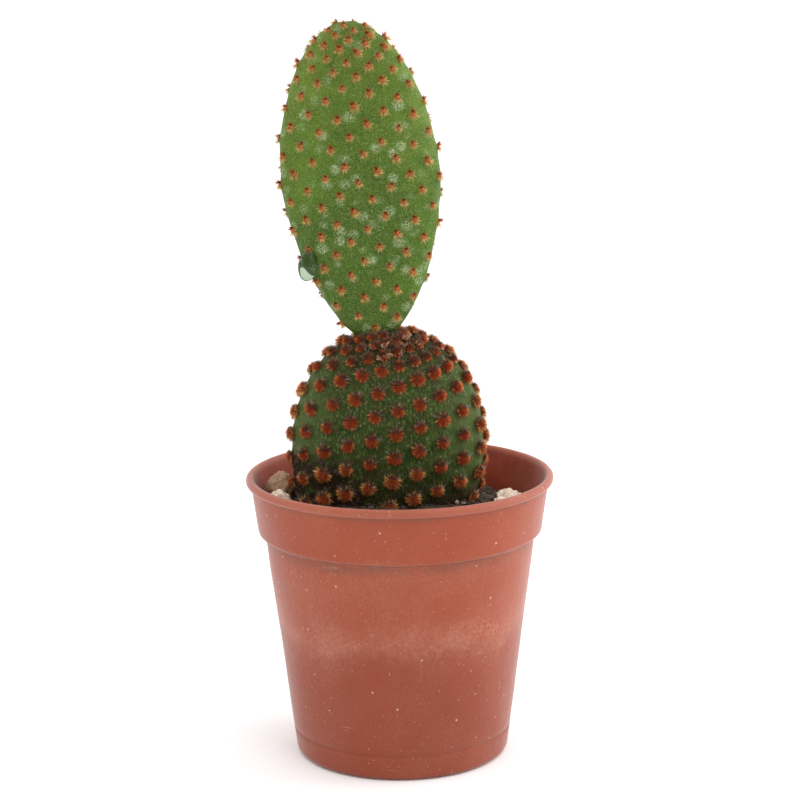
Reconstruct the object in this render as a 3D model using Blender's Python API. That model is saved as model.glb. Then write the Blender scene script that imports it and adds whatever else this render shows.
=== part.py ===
"""A young two-pad paddle cactus (prickly pear) in a small plastic nursery pot.

Metres, +Z up, origin at the bottom centre of the pot. The plant faces -Y with its broad side.
"""

import math
from dataclasses import dataclass

import bmesh
import bpy
from mathutils import Matrix, Vector, noise

# --- Driving dimensions, in metres ---
GAP = 0.0003  # clear space between neighbouring pieces
TURN_STEPS = 60  # sides of the pot and of the soil

# Pot: a thin moulded shell
RIM_RADIUS = 0.0320
POT_HEIGHT = 0.0595
WALL = 0.0010
BEAD_RADIUS = 0.0009  # rounding of the rim's rolled edge
COLLAR_TOP_RADIUS = 0.0312
COLLAR_FOOT_RADIUS = 0.02965
COLLAR_ROUNDING = 0.0014
STEP_HEIGHT = 0.0472  # underside of the collar
BODY_TOP_RADIUS = 0.0281
BODY_FOOT_RADIUS = 0.0224
BASE_ROUNDING = 0.0016
FOOT_RING_WIDTH = 0.0030
FOOT_RECESS = 0.0008  # the middle of the base stands clear of the table
BASE_THICKNESS = 0.0012
DRAIN_COUNT = 6
DRAIN_RADIUS = 0.0019
DRAIN_CIRCLE_RADIUS = 0.0125

# Soil: a plug that fills the pot, higher at the plant than at the wall
SOIL_WALL_HEIGHT = 0.0496
SOIL_MOUND = 0.0070
SOIL_MOUND_FALLOFF = 0.7
SOIL_TILT = 0.03  # rise per metre towards -X
SOIL_ROUGHNESS = 0.0008
SOIL_LUMP_SIZE = 0.0055
SOIL_RINGS = 10

# Pads: flattened stem segments
PAD_SIDES = 36
PAD_RINGS = 22


@dataclass(frozen=True)
class Pad:
    """One flattened stem segment. Lengths run from its widest place to its two ends."""

    centre: tuple
    width: float
    thickness: float
    length_above: float
    length_below: float
    bluntness: float  # 2 is an ellipse, and more is squarer
    foot_taper: float  # how much of the width is lost towards the foot
    lean_deg: float  # turn about Y, positive towards +X


BASE_PAD = Pad((-0.0024, 0.0, 0.0655), 0.0394, 0.0205, 0.0237, 0.0280, 2.1, 0.0, 2.4)
UPPER_PAD = Pad((-0.0071, 0.0, 0.1206), 0.0324, 0.0105, 0.0319, 0.0335, 1.9, 0.15, -4.8)

# Picks which way each root strays, the same in every run
NOISE_SEED = 11

# Roots: a short taproot with side roots that dive as they spread
ROOT_TOP_CLEARANCE = 0.00035  # between the base pad's foot and the taproot
TAPROOT_LENGTH = 0.0140
TAPROOT_RADIUS = 0.0022
ROOT_TIP_RADIUS = 0.0006
ROOT_POINTS = 6
SIDE_ROOT_COUNT = 5
SIDE_ROOT_LENGTH = 0.0160
SIDE_ROOT_RADIUS = 0.0012
SIDE_ROOT_DIVE = 0.45
ROOT_WANDER = 0.0012


@dataclass(frozen=True)
class Stone:
    """One loose stone: where it lies, its three sizes, its turn about Z and how far it has sunk."""

    x: float
    y: float
    length: float
    width: float
    height: float
    turn_deg: float
    sunk: float = 0.35  # share of the height below the soil's surface


STONE_ROUGHNESS = 0.16  # bumps as a share of the stone's radius
STONES = {
    "pumice_left": Stone(-0.0250, 0.0052, 0.0086, 0.0066, 0.0074, 100, 0.22),
    "pumice_left_small": Stone(-0.0250, -0.0026, 0.0046, 0.0040, 0.0046, 15, 0.18),
    "pumice_left_front": Stone(-0.0196, -0.0118, 0.0060, 0.0048, 0.0036, 120, 0.55),
    "pumice_right": Stone(0.0230, 0.0046, 0.0088, 0.0068, 0.0048, 100, 0.55),
    "pumice_right_small": Stone(0.0208, -0.0024, 0.0040, 0.0034, 0.0032, 40, 0.60),
    "pumice_right_front": Stone(0.0200, -0.0106, 0.0064, 0.0050, 0.0040, 60, 0.55),
    "pumice_front": Stone(0.0030, -0.0213, 0.0070, 0.0054, 0.0048, 170),
    "pumice_front_left": Stone(-0.0110, -0.0205, 0.0052, 0.0044, 0.0038, 100),
    "pumice_front_right": Stone(0.0135, -0.0190, 0.0046, 0.0040, 0.0036, 20),
    "pumice_back": Stone(-0.0015, 0.0212, 0.0078, 0.0058, 0.0052, 10),
    "pumice_back_left": Stone(-0.0138, 0.0186, 0.0056, 0.0046, 0.0042, 140),
    "pumice_back_right": Stone(0.0122, 0.0190, 0.0062, 0.0048, 0.0044, 85),
}

# --- Colours, as linear RGB ---
TERRACOTTA = (0.435, 0.102, 0.053)
DARK_SOIL = (0.022, 0.015, 0.011)
ROOT_BROWN = (0.260, 0.150, 0.075)
DARK_GREEN = (0.060, 0.110, 0.028)
FRESH_GREEN = (0.135, 0.310, 0.055)
PALE_PUMICE = (0.520, 0.430, 0.320)


def clear_scene():
    for old in list(bpy.data.objects):
        bpy.data.objects.remove(old, do_unlink=True)


def make_material(name, colour, roughness):
    material = bpy.data.materials.new(name)
    material.use_nodes = True
    shader = material.node_tree.nodes["Principled BSDF"]
    shader.inputs["Base Color"].default_value = (*colour, 1.0)
    shader.inputs["Roughness"].default_value = roughness
    shader.inputs["Metallic"].default_value = 0.0
    return material


def add_object(name, bm, material=None, sharp_deg=35.0):
    """Closes a bmesh into a smooth-shaded object in the scene."""
    bmesh.ops.recalc_face_normals(bm, faces=bm.faces)
    mesh = bpy.data.meshes.new(name)
    bm.to_mesh(mesh)
    bm.free()
    mesh.shade_smooth()
    mesh.set_sharp_from_angle(angle=math.radians(sharp_deg))
    if material is not None:
        mesh.materials.append(material)
    made = bpy.data.objects.new(name, mesh)
    bpy.context.scene.collection.objects.link(made)
    return made


def make_helper(made):
    made.hide_render = True
    made.display_type = "WIRE"
    return made


def cut(target, cutter):
    modifier = target.modifiers.new("cut_" + cutter.name, "BOOLEAN")
    modifier.operation = "DIFFERENCE"
    modifier.solver = "EXACT"
    modifier.object = make_helper(cutter)


def arc(centre_r, centre_z, radius, start_deg, end_deg, steps):
    """Points (r, z) along an arc, from start to end."""
    points = []
    for step in range(steps + 1):
        angle = math.radians(start_deg + (end_deg - start_deg) * step / steps)
        points.append((centre_r + radius * math.cos(angle), centre_z + radius * math.sin(angle)))
    return points


def turned(profile):
    """A body turned about Z from (r, z) points that start and end on the axis."""
    bm = bmesh.new()
    ring = [bm.verts.new((r, 0.0, z)) for r, z in profile]
    edges = [bm.edges.new(pair) for pair in zip(ring, ring[1:])]
    bmesh.ops.spin(
        bm,
        geom=ring + edges,
        cent=(0, 0, 0),
        axis=(0, 0, 1),
        angle=math.tau,
        steps=TURN_STEPS,
        use_merge=True,
    )
    bmesh.ops.remove_doubles(bm, verts=bm.verts, dist=1e-6)
    return bm


# --- Pot ---
def body_radius(height):
    """Outer radius of the pot's tapering body."""
    share = (height - BASE_ROUNDING) / (STEP_HEIGHT - BASE_ROUNDING)
    return BODY_FOOT_RADIUS + (BODY_TOP_RADIUS - BODY_FOOT_RADIUS) * share


def collar_radius(height):
    """Outer radius of the pot's collar."""
    low = STEP_HEIGHT + COLLAR_ROUNDING
    share = (height - low) / (POT_HEIGHT - low)
    return COLLAR_FOOT_RADIUS + (COLLAR_TOP_RADIUS - COLLAR_FOOT_RADIUS) * share


def floor_height():
    """Height of the pot's inner floor."""
    return FOOT_RECESS + BASE_THICKNESS


def make_pot():
    corner_r = BODY_FOOT_RADIUS - BASE_ROUNDING
    ring_r = corner_r - FOOT_RING_WIDTH
    step_r = COLLAR_FOOT_RADIUS - COLLAR_ROUNDING
    bead_r = RIM_RADIUS - BEAD_RADIUS
    bead_z = POT_HEIGHT - BEAD_RADIUS
    ledge_z = STEP_HEIGHT + WALL
    profile = [(0.0, FOOT_RECESS), (ring_r - FOOT_RECESS, FOOT_RECESS), (ring_r, 0.0)]
    profile += arc(corner_r, BASE_ROUNDING, BASE_ROUNDING, -90, 0, 4)
    profile += [(body_radius(STEP_HEIGHT), STEP_HEIGHT)]
    profile += arc(step_r, STEP_HEIGHT + COLLAR_ROUNDING, COLLAR_ROUNDING, -90, 0, 3)
    profile += [(collar_radius(bead_z - BEAD_RADIUS), bead_z - BEAD_RADIUS)]
    profile += arc(bead_r, bead_z, BEAD_RADIUS, -60, 100, 6)
    profile += [(collar_radius(POT_HEIGHT) - WALL, bead_z)]
    profile += [(collar_radius(ledge_z + COLLAR_ROUNDING) - WALL, ledge_z + COLLAR_ROUNDING)]
    profile += [(step_r, ledge_z), (body_radius(ledge_z) - WALL, ledge_z)]
    profile += [(body_radius(STEP_HEIGHT) - WALL, STEP_HEIGHT - WALL)]
    profile += [(body_radius(floor_height()) - 2 * WALL, floor_height() + WALL)]
    profile += [(body_radius(floor_height()) - 3 * WALL, floor_height()), (0.0, floor_height())]
    plastic = make_material("terracotta_plastic", TERRACOTTA, 0.62)
    pot = add_object("pot", turned(profile), plastic)
    cut(pot, make_drains())


def make_drains():
    """One cutter for all the drainage holes in the base."""
    bm = bmesh.new()
    for number in range(DRAIN_COUNT):
        turn = Matrix.Rotation(math.tau * number / DRAIN_COUNT, 4, "Z")
        place = turn @ Matrix.Translation((DRAIN_CIRCLE_RADIUS, 0.0, floor_height() / 2))
        bmesh.ops.create_cone(
            bm,
            cap_ends=True,
            segments=16,
            radius1=DRAIN_RADIUS,
            radius2=DRAIN_RADIUS,
            depth=3 * floor_height(),
            matrix=place,
        )
    return add_object("drain_cutter", bm)


# --- Plant ---
def taper_at(pad, height):
    """Share of the width left at a height from -1, the foot, to 1, the tip."""
    return 1.0 - pad.foot_taper * max(0.0, -height)


def make_pad(name, pad, material=None, grow=0.0):
    """A pad as a shaped sphere. grow adds the same to it on every side."""
    bm = bmesh.new()
    bmesh.ops.create_uvsphere(bm, u_segments=PAD_SIDES, v_segments=PAD_RINGS, radius=1.0)
    power = 2.0 / pad.bluntness
    for vert in bm.verts:
        x, y, z = vert.co
        round_now = math.hypot(x, y)
        spread = round_now ** power / round_now if round_now > 1e-6 else 0.0
        height = math.copysign(abs(z) ** power, z)
        length = (pad.length_above if z > 0 else pad.length_below) + grow
        narrow = taper_at(pad, height)
        vert.co.x = x * spread * (pad.width / 2 * narrow + grow)
        vert.co.y = y * spread * (pad.thickness / 2 * narrow + grow)
        vert.co.z = height * length
    lean = Matrix.Rotation(math.radians(pad.lean_deg), 4, "Y")
    bmesh.ops.transform(bm, matrix=Matrix.Translation(pad.centre) @ lean, verts=bm.verts)
    return add_object(name, bm, material)


def foot_of(pad):
    """The lowest point of a pad's axis."""
    down = Vector((0.0, 0.0, -pad.length_below))
    down.rotate(Matrix.Rotation(math.radians(pad.lean_deg), 3, "Y"))
    return Vector(pad.centre) + down


def make_plant():
    make_pad("upper_pad", UPPER_PAD, make_material("fresh_green_skin", FRESH_GREEN, 0.5))
    base = make_pad("base_pad", BASE_PAD, make_material("dark_green_skin", DARK_GREEN, 0.6))
    cut(base, make_pad("joint_cutter", UPPER_PAD, grow=GAP))


def root_path(start, direction, length, wander_seed):
    """Points of one root, each a little off the straight line."""
    points = [start]
    for step in range(1, ROOT_POINTS + 1):
        stray = noise.noise_vector(Vector((step * 0.9, wander_seed, 0.0))) * ROOT_WANDER
        points.append(start + direction * length * step / ROOT_POINTS + stray)
    return points


def make_root(name, path, start_radius, material=None, grow=0.0):
    """One tapering root along a path, as a mesh with closed ends."""
    curve = bpy.data.curves.new(name, "CURVE")
    curve.dimensions = "3D"
    curve.bevel_depth = 1.0
    curve.bevel_resolution = 2
    curve.use_fill_caps = True
    spline = curve.splines.new("POLY")
    spline.points.add(len(path) - 1)
    for number, (point, place) in enumerate(zip(spline.points, path)):
        share = number / (len(path) - 1)
        point.co = (*place, 1.0)
        point.radius = start_radius + (ROOT_TIP_RADIUS - start_radius) * share + grow
    first, last = spline.points[0], spline.points[-1]
    first.co.xyz -= (path[1] - path[0]).normalized() * grow
    last.co.xyz += (path[-1] - path[-2]).normalized() * grow
    guide = bpy.data.objects.new(name + "_guide", curve)
    bm = bmesh.new()
    bm.from_mesh(guide.to_mesh())
    guide.to_mesh_clear()
    bpy.data.objects.remove(guide)
    bmesh.ops.remove_doubles(bm, verts=bm.verts, dist=1e-6)
    return add_object(name, bm, material)


def make_roots(name, material=None, grow=0.0):
    """The root system: a short taproot with side roots joined to it."""
    root_top = foot_of(BASE_PAD) - Vector((0.0, 0.0, ROOT_TOP_CLEARANCE))
    taproot = root_path(root_top, Vector((0, 0, -1)), TAPROOT_LENGTH, 0.0)
    roots = make_root(name, taproot, TAPROOT_RADIUS, material, grow)
    for number in range(SIDE_ROOT_COUNT):
        turn = math.tau * (number / SIDE_ROOT_COUNT + 0.07)
        way = Vector((math.cos(turn), math.sin(turn), -SIDE_ROOT_DIVE)).normalized()
        path = root_path(taproot[1 + number % 3], way, SIDE_ROOT_LENGTH, 3.7 + number)
        side = make_root(f"{name}_side_{number + 1}", path, SIDE_ROOT_RADIUS, None, grow)
        union = roots.modifiers.new("join_" + side.name, "BOOLEAN")
        union.operation = "UNION"
        union.solver = "EXACT"
        union.object = make_helper(side)
    return roots


# --- Soil and stones ---
def soil_height(x, y):
    """Height of the soil's surface, mounded towards the plant."""
    share = min(1.0, math.hypot(x, y) / (COLLAR_FOOT_RADIUS - WALL))
    mound = SOIL_MOUND * (1.0 - share * share) ** SOIL_MOUND_FALLOFF
    lumps = noise.noise(Vector((x, y, 0.0)) / SOIL_LUMP_SIZE) * SOIL_ROUGHNESS
    return SOIL_WALL_HEIGHT + mound - SOIL_TILT * x + lumps * (1.0 - share)


def make_soil():
    low = floor_height() + GAP
    wall_gap = WALL + GAP
    ledge_low = STEP_HEIGHT - WALL
    ledge_top = STEP_HEIGHT + WALL + GAP
    edge_r = collar_radius(SOIL_WALL_HEIGHT) - wall_gap
    profile = [(0.0, low), (body_radius(low) - 2 * WALL - wall_gap, low)]
    profile += [(body_radius(low) - WALL - wall_gap, low + WALL)]
    profile += [(body_radius(ledge_low) - wall_gap, ledge_low)]
    profile += [(body_radius(ledge_top) - wall_gap, ledge_top)]
    profile += [(COLLAR_FOOT_RADIUS - COLLAR_ROUNDING - GAP, ledge_top)]
    profile += [(edge_r * (1 - ring / SOIL_RINGS), 1.0) for ring in range(SOIL_RINGS + 1)]
    bm = turned(profile)
    for vert in bm.verts:
        if vert.co.z > 0.5:
            vert.co.z = soil_height(vert.co.x, vert.co.y)
    soil = add_object("soil", bm, make_material("potting_soil", DARK_SOIL, 0.95))
    cut(soil, make_pad("foot_cutter", BASE_PAD, grow=GAP))
    cut(soil, make_roots("root_cutter", grow=GAP))
    return soil


def make_stone(name, stone, seed, material=None, grow=0.0):
    """A rough stone, sunk a little way into the soil."""
    sizes = Vector((stone.length, stone.width, stone.height)) / 2
    bm = bmesh.new()
    bmesh.ops.create_icosphere(bm, subdivisions=2, radius=1.0)
    for vert in bm.verts:
        rough = 1.0 + STONE_ROUGHNESS * noise.noise(vert.co * 1.6 + Vector((seed * 7.3, 0, 0)))
        vert.co = Vector(size * rough * way for size, way in zip(sizes, vert.co))
        vert.co += vert.co.normalized() * grow
    top = soil_height(stone.x, stone.y) + stone.height * (1.0 - stone.sunk)
    place = Matrix.Translation((stone.x, stone.y, top - stone.height / 2))
    turn = Matrix.Rotation(math.radians(stone.turn_deg), 4, "Z")
    bmesh.ops.transform(bm, matrix=place @ turn, verts=bm.verts)
    return add_object(name, bm, material)


def make_stones(soil):
    pumice = make_material("pale_pumice", PALE_PUMICE, 0.9)
    for seed, (name, stone) in enumerate(STONES.items()):
        make_stone(name, stone, seed, pumice)
        cut(soil, make_stone(name + "_cutter", stone, seed, grow=1.5 * GAP))


def main():
    noise.seed_set(NOISE_SEED)
    clear_scene()
    make_pot()
    make_plant()
    make_roots("roots", make_material("root_skin", ROOT_BROWN, 0.8))
    make_stones(make_soil())


main()
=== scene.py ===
"""A young two-pad paddle cactus in a small plastic nursery pot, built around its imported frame."""

import math
import random

import bmesh
import bpy
from bpy.props import FloatProperty, FloatVectorProperty, IntProperty, PointerProperty
from mathutils import Matrix, Vector, kdtree, noise


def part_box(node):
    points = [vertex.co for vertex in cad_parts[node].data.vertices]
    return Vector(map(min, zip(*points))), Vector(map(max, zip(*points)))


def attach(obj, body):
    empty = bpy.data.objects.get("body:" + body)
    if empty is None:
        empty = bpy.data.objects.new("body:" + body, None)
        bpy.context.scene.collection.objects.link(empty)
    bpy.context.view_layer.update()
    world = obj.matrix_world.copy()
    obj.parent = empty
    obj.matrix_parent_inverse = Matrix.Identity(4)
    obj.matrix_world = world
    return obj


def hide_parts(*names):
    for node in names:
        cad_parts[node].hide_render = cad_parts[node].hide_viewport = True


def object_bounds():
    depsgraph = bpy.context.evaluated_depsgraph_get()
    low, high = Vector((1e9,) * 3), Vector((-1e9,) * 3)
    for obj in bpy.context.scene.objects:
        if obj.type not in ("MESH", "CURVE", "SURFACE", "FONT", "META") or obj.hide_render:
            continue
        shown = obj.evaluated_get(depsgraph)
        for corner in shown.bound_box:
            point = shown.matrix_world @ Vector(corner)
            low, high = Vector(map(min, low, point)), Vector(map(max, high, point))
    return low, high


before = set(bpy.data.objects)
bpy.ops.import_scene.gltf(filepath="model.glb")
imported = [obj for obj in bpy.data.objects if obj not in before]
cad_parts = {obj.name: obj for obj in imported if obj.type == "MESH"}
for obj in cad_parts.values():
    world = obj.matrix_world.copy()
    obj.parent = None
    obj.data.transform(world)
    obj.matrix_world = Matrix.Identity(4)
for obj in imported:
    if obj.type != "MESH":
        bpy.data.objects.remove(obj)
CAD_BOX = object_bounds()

bl_info = {
    "name": "Potted Paddle Cactus",
    "version": (1, 0, 0),
    "blender": (4, 5, 0),
    "location": "3D View > Sidebar > Cactus",
    "description": "Builds a two-pad paddle cactus in a plastic nursery pot around its packed frame",
    "category": "Add Mesh",
}

MM = 0.001
CLEAR = 0.0003  # space kept between the soil and the pot
AREOLE_REACH = 0.0024  # how far an areole marks the skin round it
STRAND_MAP = "OFBake"  # UV map of the bristles: u runs from root to tip, v picks the colour
POT_LOW, POT_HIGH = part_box("pot")
BASE_LOW, BASE_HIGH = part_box("base_pad")
UPPER_LOW, UPPER_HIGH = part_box("upper_pad")


# --- Settings ---
def length(name, description, default):
    return FloatProperty(
        name=name,
        description=description,
        default=default,
        min=0.0,
        precision=5,
        unit="LENGTH",
        subtype="DISTANCE",
    )


def place_value(name, description, default):
    return FloatProperty(
        name=name,
        description=description,
        default=default,
        precision=5,
        unit="LENGTH",
        subtype="DISTANCE",
    )


def plain(name, description, default):
    return FloatProperty(name=name, description=description, default=default, min=0.0)


def share(name, description, default):
    return FloatProperty(
        name=name, description=description, default=default, min=0.0, max=1.0, subtype="FACTOR"
    )


def angle(name, description, degrees):
    return FloatProperty(
        name=name, description=description, default=math.radians(degrees), subtype="ANGLE"
    )


def amount(name, description, default):
    return IntProperty(name=name, description=description, default=default, min=0)


def colour(name, description, default):
    return FloatVectorProperty(
        name=name, description=description, default=default, size=3, min=0, max=1, subtype="COLOR"
    )


class PotSettings(bpy.types.PropertyGroup):
    rim_radius: length("Rim Radius", "Outer radius of the rolled rim", POT_HIGH.x)
    height: length("Height", "Height of the pot", POT_HIGH.z)
    wall: length("Wall", "Thickness of the moulded wall", 0.0010)
    bead_radius: length("Bead", "Rounding of the rolled rim", 0.0009)
    collar_top: length("Collar Top", "Outer radius of the collar under the rim", 0.0312)
    collar_foot: length("Collar Foot", "Outer radius at the foot of the collar", 0.02965)
    collar_round: length("Collar Rounding", "Rounding at the foot of the collar", 0.0014)
    step_height: length("Step Height", "Height of the collar's underside", 0.0472)
    body_top: length("Body Top", "Outer radius of the body under the collar", 0.0281)
    body_foot: length("Body Foot", "Outer radius of the body at the table", 0.0224)
    base_round: length("Base Rounding", "Rounding between the body and the base", 0.0016)
    foot_ring: length("Foot Ring", "Width of the ring that the pot stands on", 0.0030)
    foot_recess: length("Foot Recess", "Height of the base above the table", 0.0008)
    base_wall: length("Base Thickness", "Thickness of the base", 0.0012)
    groove_height: length("Groove Height", "Height of the moulding groove above the table", 0.0052)
    groove_depth: length("Groove Depth", "Depth of the moulding groove", 0.00012)
    drain_radius: length("Drain Radius", "Radius of each drainage hole", 0.0019)
    drain_circle: length("Drain Circle", "Radius of the circle of drainage holes", 0.0125)
    drain_count: amount("Drains", "Number of drainage holes", 6)
    warp: length("Warp", "Unevenness of the moulded wall", 0.00016)
    plastic: colour("Plastic", "Terracotta plastic", (0.325, 0.055, 0.019))
    plastic_inside: colour("Inside", "Shaded plastic inside the pot", (0.330, 0.042, 0.011))
    haze: colour("Haze", "Dried mineral haze on the plastic", (0.520, 0.270, 0.200))
    dust: colour("Dust", "Pale specks of dust", (0.640, 0.430, 0.330))
    # painted shade: the colour laid in the creases under the rim and the collar
    crease_shade: colour("Grime", "Dirt under the rim and the collar", (0.170, 0.085, 0.055))


class SoilSettings(bpy.types.PropertyGroup):
    wall_height: length("Wall Height", "Height of the soil at the pot's wall", 0.0496)
    mound: length("Mound", "Rise of the soil towards the plant", 0.0070)
    tilt: share("Tilt", "Rise per metre towards the left", 0.03)
    dip: length("Dip", "How much lower the soil lies in front of the plant", 0.0022)
    grain: length("Grain", "Size of the lumps in the surface", 0.0011)
    relief: length("Relief", "Height of the lumps in the surface", 0.00055)
    crumb_count: amount("Crumbs", "Loose crumbs of compost", 900)
    stuck_count: amount("Stuck Crumbs", "Crumbs that cling to the base pad", 620)
    fibre_count: amount("Fibres", "Loose peat fibres", 170)
    grit_count: amount("Grit", "Grains of pale grit", 26)
    compost: colour("Compost", "Damp compost", (0.020, 0.013, 0.010))
    peat: colour("Peat", "Drier brown peat", (0.085, 0.048, 0.028))
    fibre: colour("Fibre", "Peat fibres", (0.150, 0.080, 0.042))
    root_skin: colour("Root", "Skin of the roots", (0.260, 0.150, 0.075))


class StoneSettings(bpy.types.PropertyGroup):
    bumps: share("Bumps", "Height of the bumps as a share of a stone's size", 0.16)
    pits: share("Pits", "Depth of the pits as a share of a stone's size", 0.085)
    pale: colour("Pale Pumice", "Clean pumice", (0.700, 0.560, 0.440))
    tan: colour("Tan Pumice", "Soiled pumice", (0.330, 0.200, 0.115))
    # the colour that the pores are darkened towards
    pit: colour("Pits", "Dirt in the pits", (0.110, 0.065, 0.040))


PAD_VALUES = {
    "centre_x": (place_value, "Centre", "Sideways place of the widest part"),
    "centre_z": (length, "Centre Height", "Height of the widest part"),
    "width": (length, "Width", "Width across the broad side"),
    "thickness": (length, "Thickness", "Thickness at the widest part"),
    "above": (length, "Length Above", "From the widest part to the top"),
    "below": (length, "Length Below", "From the widest part to the foot"),
    "bluntness": (plain, "Bluntness", "How full the outline is, where 2 is an ellipse"),
    "foot_taper": (share, "Foot Taper", "Width lost towards the foot"),
    "lean": (angle, "Lean", "Lean towards the right"),
    "areole_area": (plain, "Areole Area", "Skin for each areole, in square millimetres"),
    "areole_trend": (share, "Areole Trend", "How much closer the areoles get up the pad"),
    "areole_offset": (share, "Areole Offset", "Areoles below the lowest level"),
    "areole_turn": (share, "Areole Turn", "Turn from one level of areoles to the next"),
    "areole_start": (share, "Areole Start", "Turn of the lowest areole"),
    "areole_pairs": (amount, "Areoles per Level", "Areoles that share one height"),
    "crowding": (plain, "Crowding", "How much closer still the areoles are on the crown"),
    "crown_from": (share, "Crown", "Height at which the crowding starts"),
    "tubercle": (length, "Tubercle", "Height of the swelling under an areole"),
    "tubercle_radius": (length, "Tubercle Radius", "Radius of the swelling"),
    "warp": (length, "Warp", "Unevenness of the skin"),
    "skin": (colour, "Skin", "Green skin"),
    "shade": (colour, "Shade", "Darker green"),
    "young": (colour, "Young", "Yellower green towards the tip"),
    "fleck": (colour, "Fleck", "Pale fuzz or crackle on the skin"),
    "cork": (colour, "Cork", "Corky brown skin near the soil"),
    "russet": (colour, "Russet", "Brownish fine mottling"),
    "halo": (colour, "Halo", "Skin right round an areole"),
}


def pad_values(**defaults):
    """The settings of one pad, from its defaults."""
    found = {}
    for key, default in defaults.items():
        kind, name, description = PAD_VALUES[key]
        found[key] = kind(name, description, default)
    return found


class BasePadSettings(bpy.types.PropertyGroup):
    __annotations__ = pad_values(
        centre_x=-0.0024,
        centre_z=0.0655,
        width=0.0394,
        thickness=BASE_HIGH.y - BASE_LOW.y,
        above=0.0237,
        below=0.0280,
        bluntness=2.1,
        foot_taper=0.0,
        lean=2.4,
        areole_area=23.5,
        areole_trend=0.20,
        areole_offset=1.0,
        areole_turn=0.3503,
        areole_start=0.852,
        areole_pairs=2,
        crowding=3.2,
        crown_from=0.55,
        tubercle=0.00055,
        tubercle_radius=0.0019,
        warp=0.00030,
        skin=(0.044, 0.082, 0.012),
        shade=(0.014, 0.032, 0.0045),
        fleck=(0.125, 0.175, 0.050),
        cork=(0.034, 0.017, 0.009),
        russet=(0.054, 0.044, 0.013),
        halo=(0.044, 0.026, 0.010),
    )


class UpperPadSettings(bpy.types.PropertyGroup):
    __annotations__ = pad_values(
        centre_x=-0.0071,
        centre_z=0.1206,
        width=0.0324,
        thickness=UPPER_HIGH.y - UPPER_LOW.y,
        above=0.0319,
        below=0.0335,
        bluntness=1.9,
        foot_taper=0.15,
        lean=-4.8,
        areole_area=19.2,
        areole_trend=0.0,
        areole_offset=0.52,
        areole_turn=0.38197,
        areole_start=0.603,
        areole_pairs=1,
        crowding=2.6,
        crown_from=0.40,
        tubercle=0.00028,
        tubercle_radius=0.0014,
        warp=0.00022,
        skin=(0.050, 0.125, 0.006),
        shade=(0.021, 0.058, 0.003),
        young=(0.175, 0.255, 0.030),
        fleck=(0.420, 0.500, 0.290),
        halo=(0.200, 0.130, 0.030),
    )


class TuftSettings(bpy.types.PropertyGroup):
    kinds: amount("Kinds", "Different tufts that are repeated", 8)
    base_count: amount("Base Bristles", "Bristles in a tuft on the base pad", 190)
    base_length: length("Base Length", "Length of a bristle on the base pad", 0.00098)
    base_thickness: length("Base Thickness", "Radius of a bristle on the base pad", 0.000115)
    base_areole: length("Base Areole", "Radius of an areole on the base pad", 0.00095)
    hair_count: amount("Hairs", "Silvery hairs over a tuft on the base pad", 5)
    hair_length: length("Hair Length", "Reach of a silvery hair", 0.0015)
    core_count: amount("Core Bristles", "Dark bristles in a tuft on the upper pad", 34)
    core_length: length("Core Length", "Length of a dark bristle", 0.00105)
    skirt_count: amount("Skirt Bristles", "Pale bristles under a tuft on the upper pad", 40)
    skirt_length: length("Skirt Length", "Length of a pale bristle", 0.00145)
    upper_thickness: length("Upper Thickness", "Radius of a bristle on the upper pad", 0.000085)
    upper_areole: length("Upper Areole", "Radius of an areole on the upper pad", 0.00050)
    rust_root: colour("Rust Root", "Root of a rust-red bristle", (0.200, 0.015, 0.003))
    rust_tip: colour("Rust Tip", "Tip of a rust-red bristle", (0.560, 0.085, 0.016))
    amber_root: colour("Amber Root", "Root of an amber bristle", (0.330, 0.060, 0.010))
    amber_tip: colour("Amber Tip", "Tip of an amber bristle", (0.800, 0.350, 0.100))
    cream_root: colour("Cream Root", "Root of a cream bristle", (0.640, 0.330, 0.090))
    cream_tip: colour("Cream Tip", "Tip of a cream bristle", (0.880, 0.700, 0.270))
    dark_root: colour("Dark Root", "Root of a dark bristle", (0.025, 0.006, 0.005))
    dark_tip: colour("Dark Tip", "Tip of a dark bristle", (0.075, 0.018, 0.016))
    hair: colour("Hair", "Silvery hairs", (0.360, 0.310, 0.270))


class ExtraSettings(bpy.types.PropertyGroup):
    drop_width: length("Drop Width", "Width of the water drop", 0.0042)
    drop_height: length("Drop Height", "Height of the water drop", 0.0068)
    drop_height_at: length("Drop Place", "Height of the water drop's middle", 0.1056)
    scrap_thickness: length("Scrap Thickness", "Thickness of the dried scraps", 0.00012)
    scrap: colour("Scrap", "Dried skin at the joint", (0.560, 0.330, 0.200))
    scrap_dark: colour("Scrap Stain", "Stains on the dried skin", (0.230, 0.095, 0.050))


class StageSettings(bpy.types.PropertyGroup):
    floor: colour("Floor", "Pale floor", (0.97, 0.97, 0.97))
    sky: plain("Room Light", "Strength of the room's light", 1.15)
    front: plain("Front Light", "Strength of the light from the front", 0.5)
    key: plain("Key Light", "Power of the main soft box", 2.5)
    fill: plain("Left Light", "Power of the left soft box", 1.0)
    side: plain("Right Light", "Power of the right soft box", 4.5)
    aim_side: place_value("Aim Side", "Sideways place that the camera looks at", 0.0003)
    aim_height: length("Aim Height", "Height that the camera looks at", 0.07486)
    elevation: angle("Elevation", "Camera's height above the horizon", 11.995)
    roll: angle("Roll", "Camera's roll", -0.709)
    distance: length("Distance", "From the camera to the plant", 0.500)
    lens: FloatProperty(
        name="Lens", description="Focal length in millimetres", default=108.93, subtype="DISTANCE_CAMERA"
    )


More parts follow.
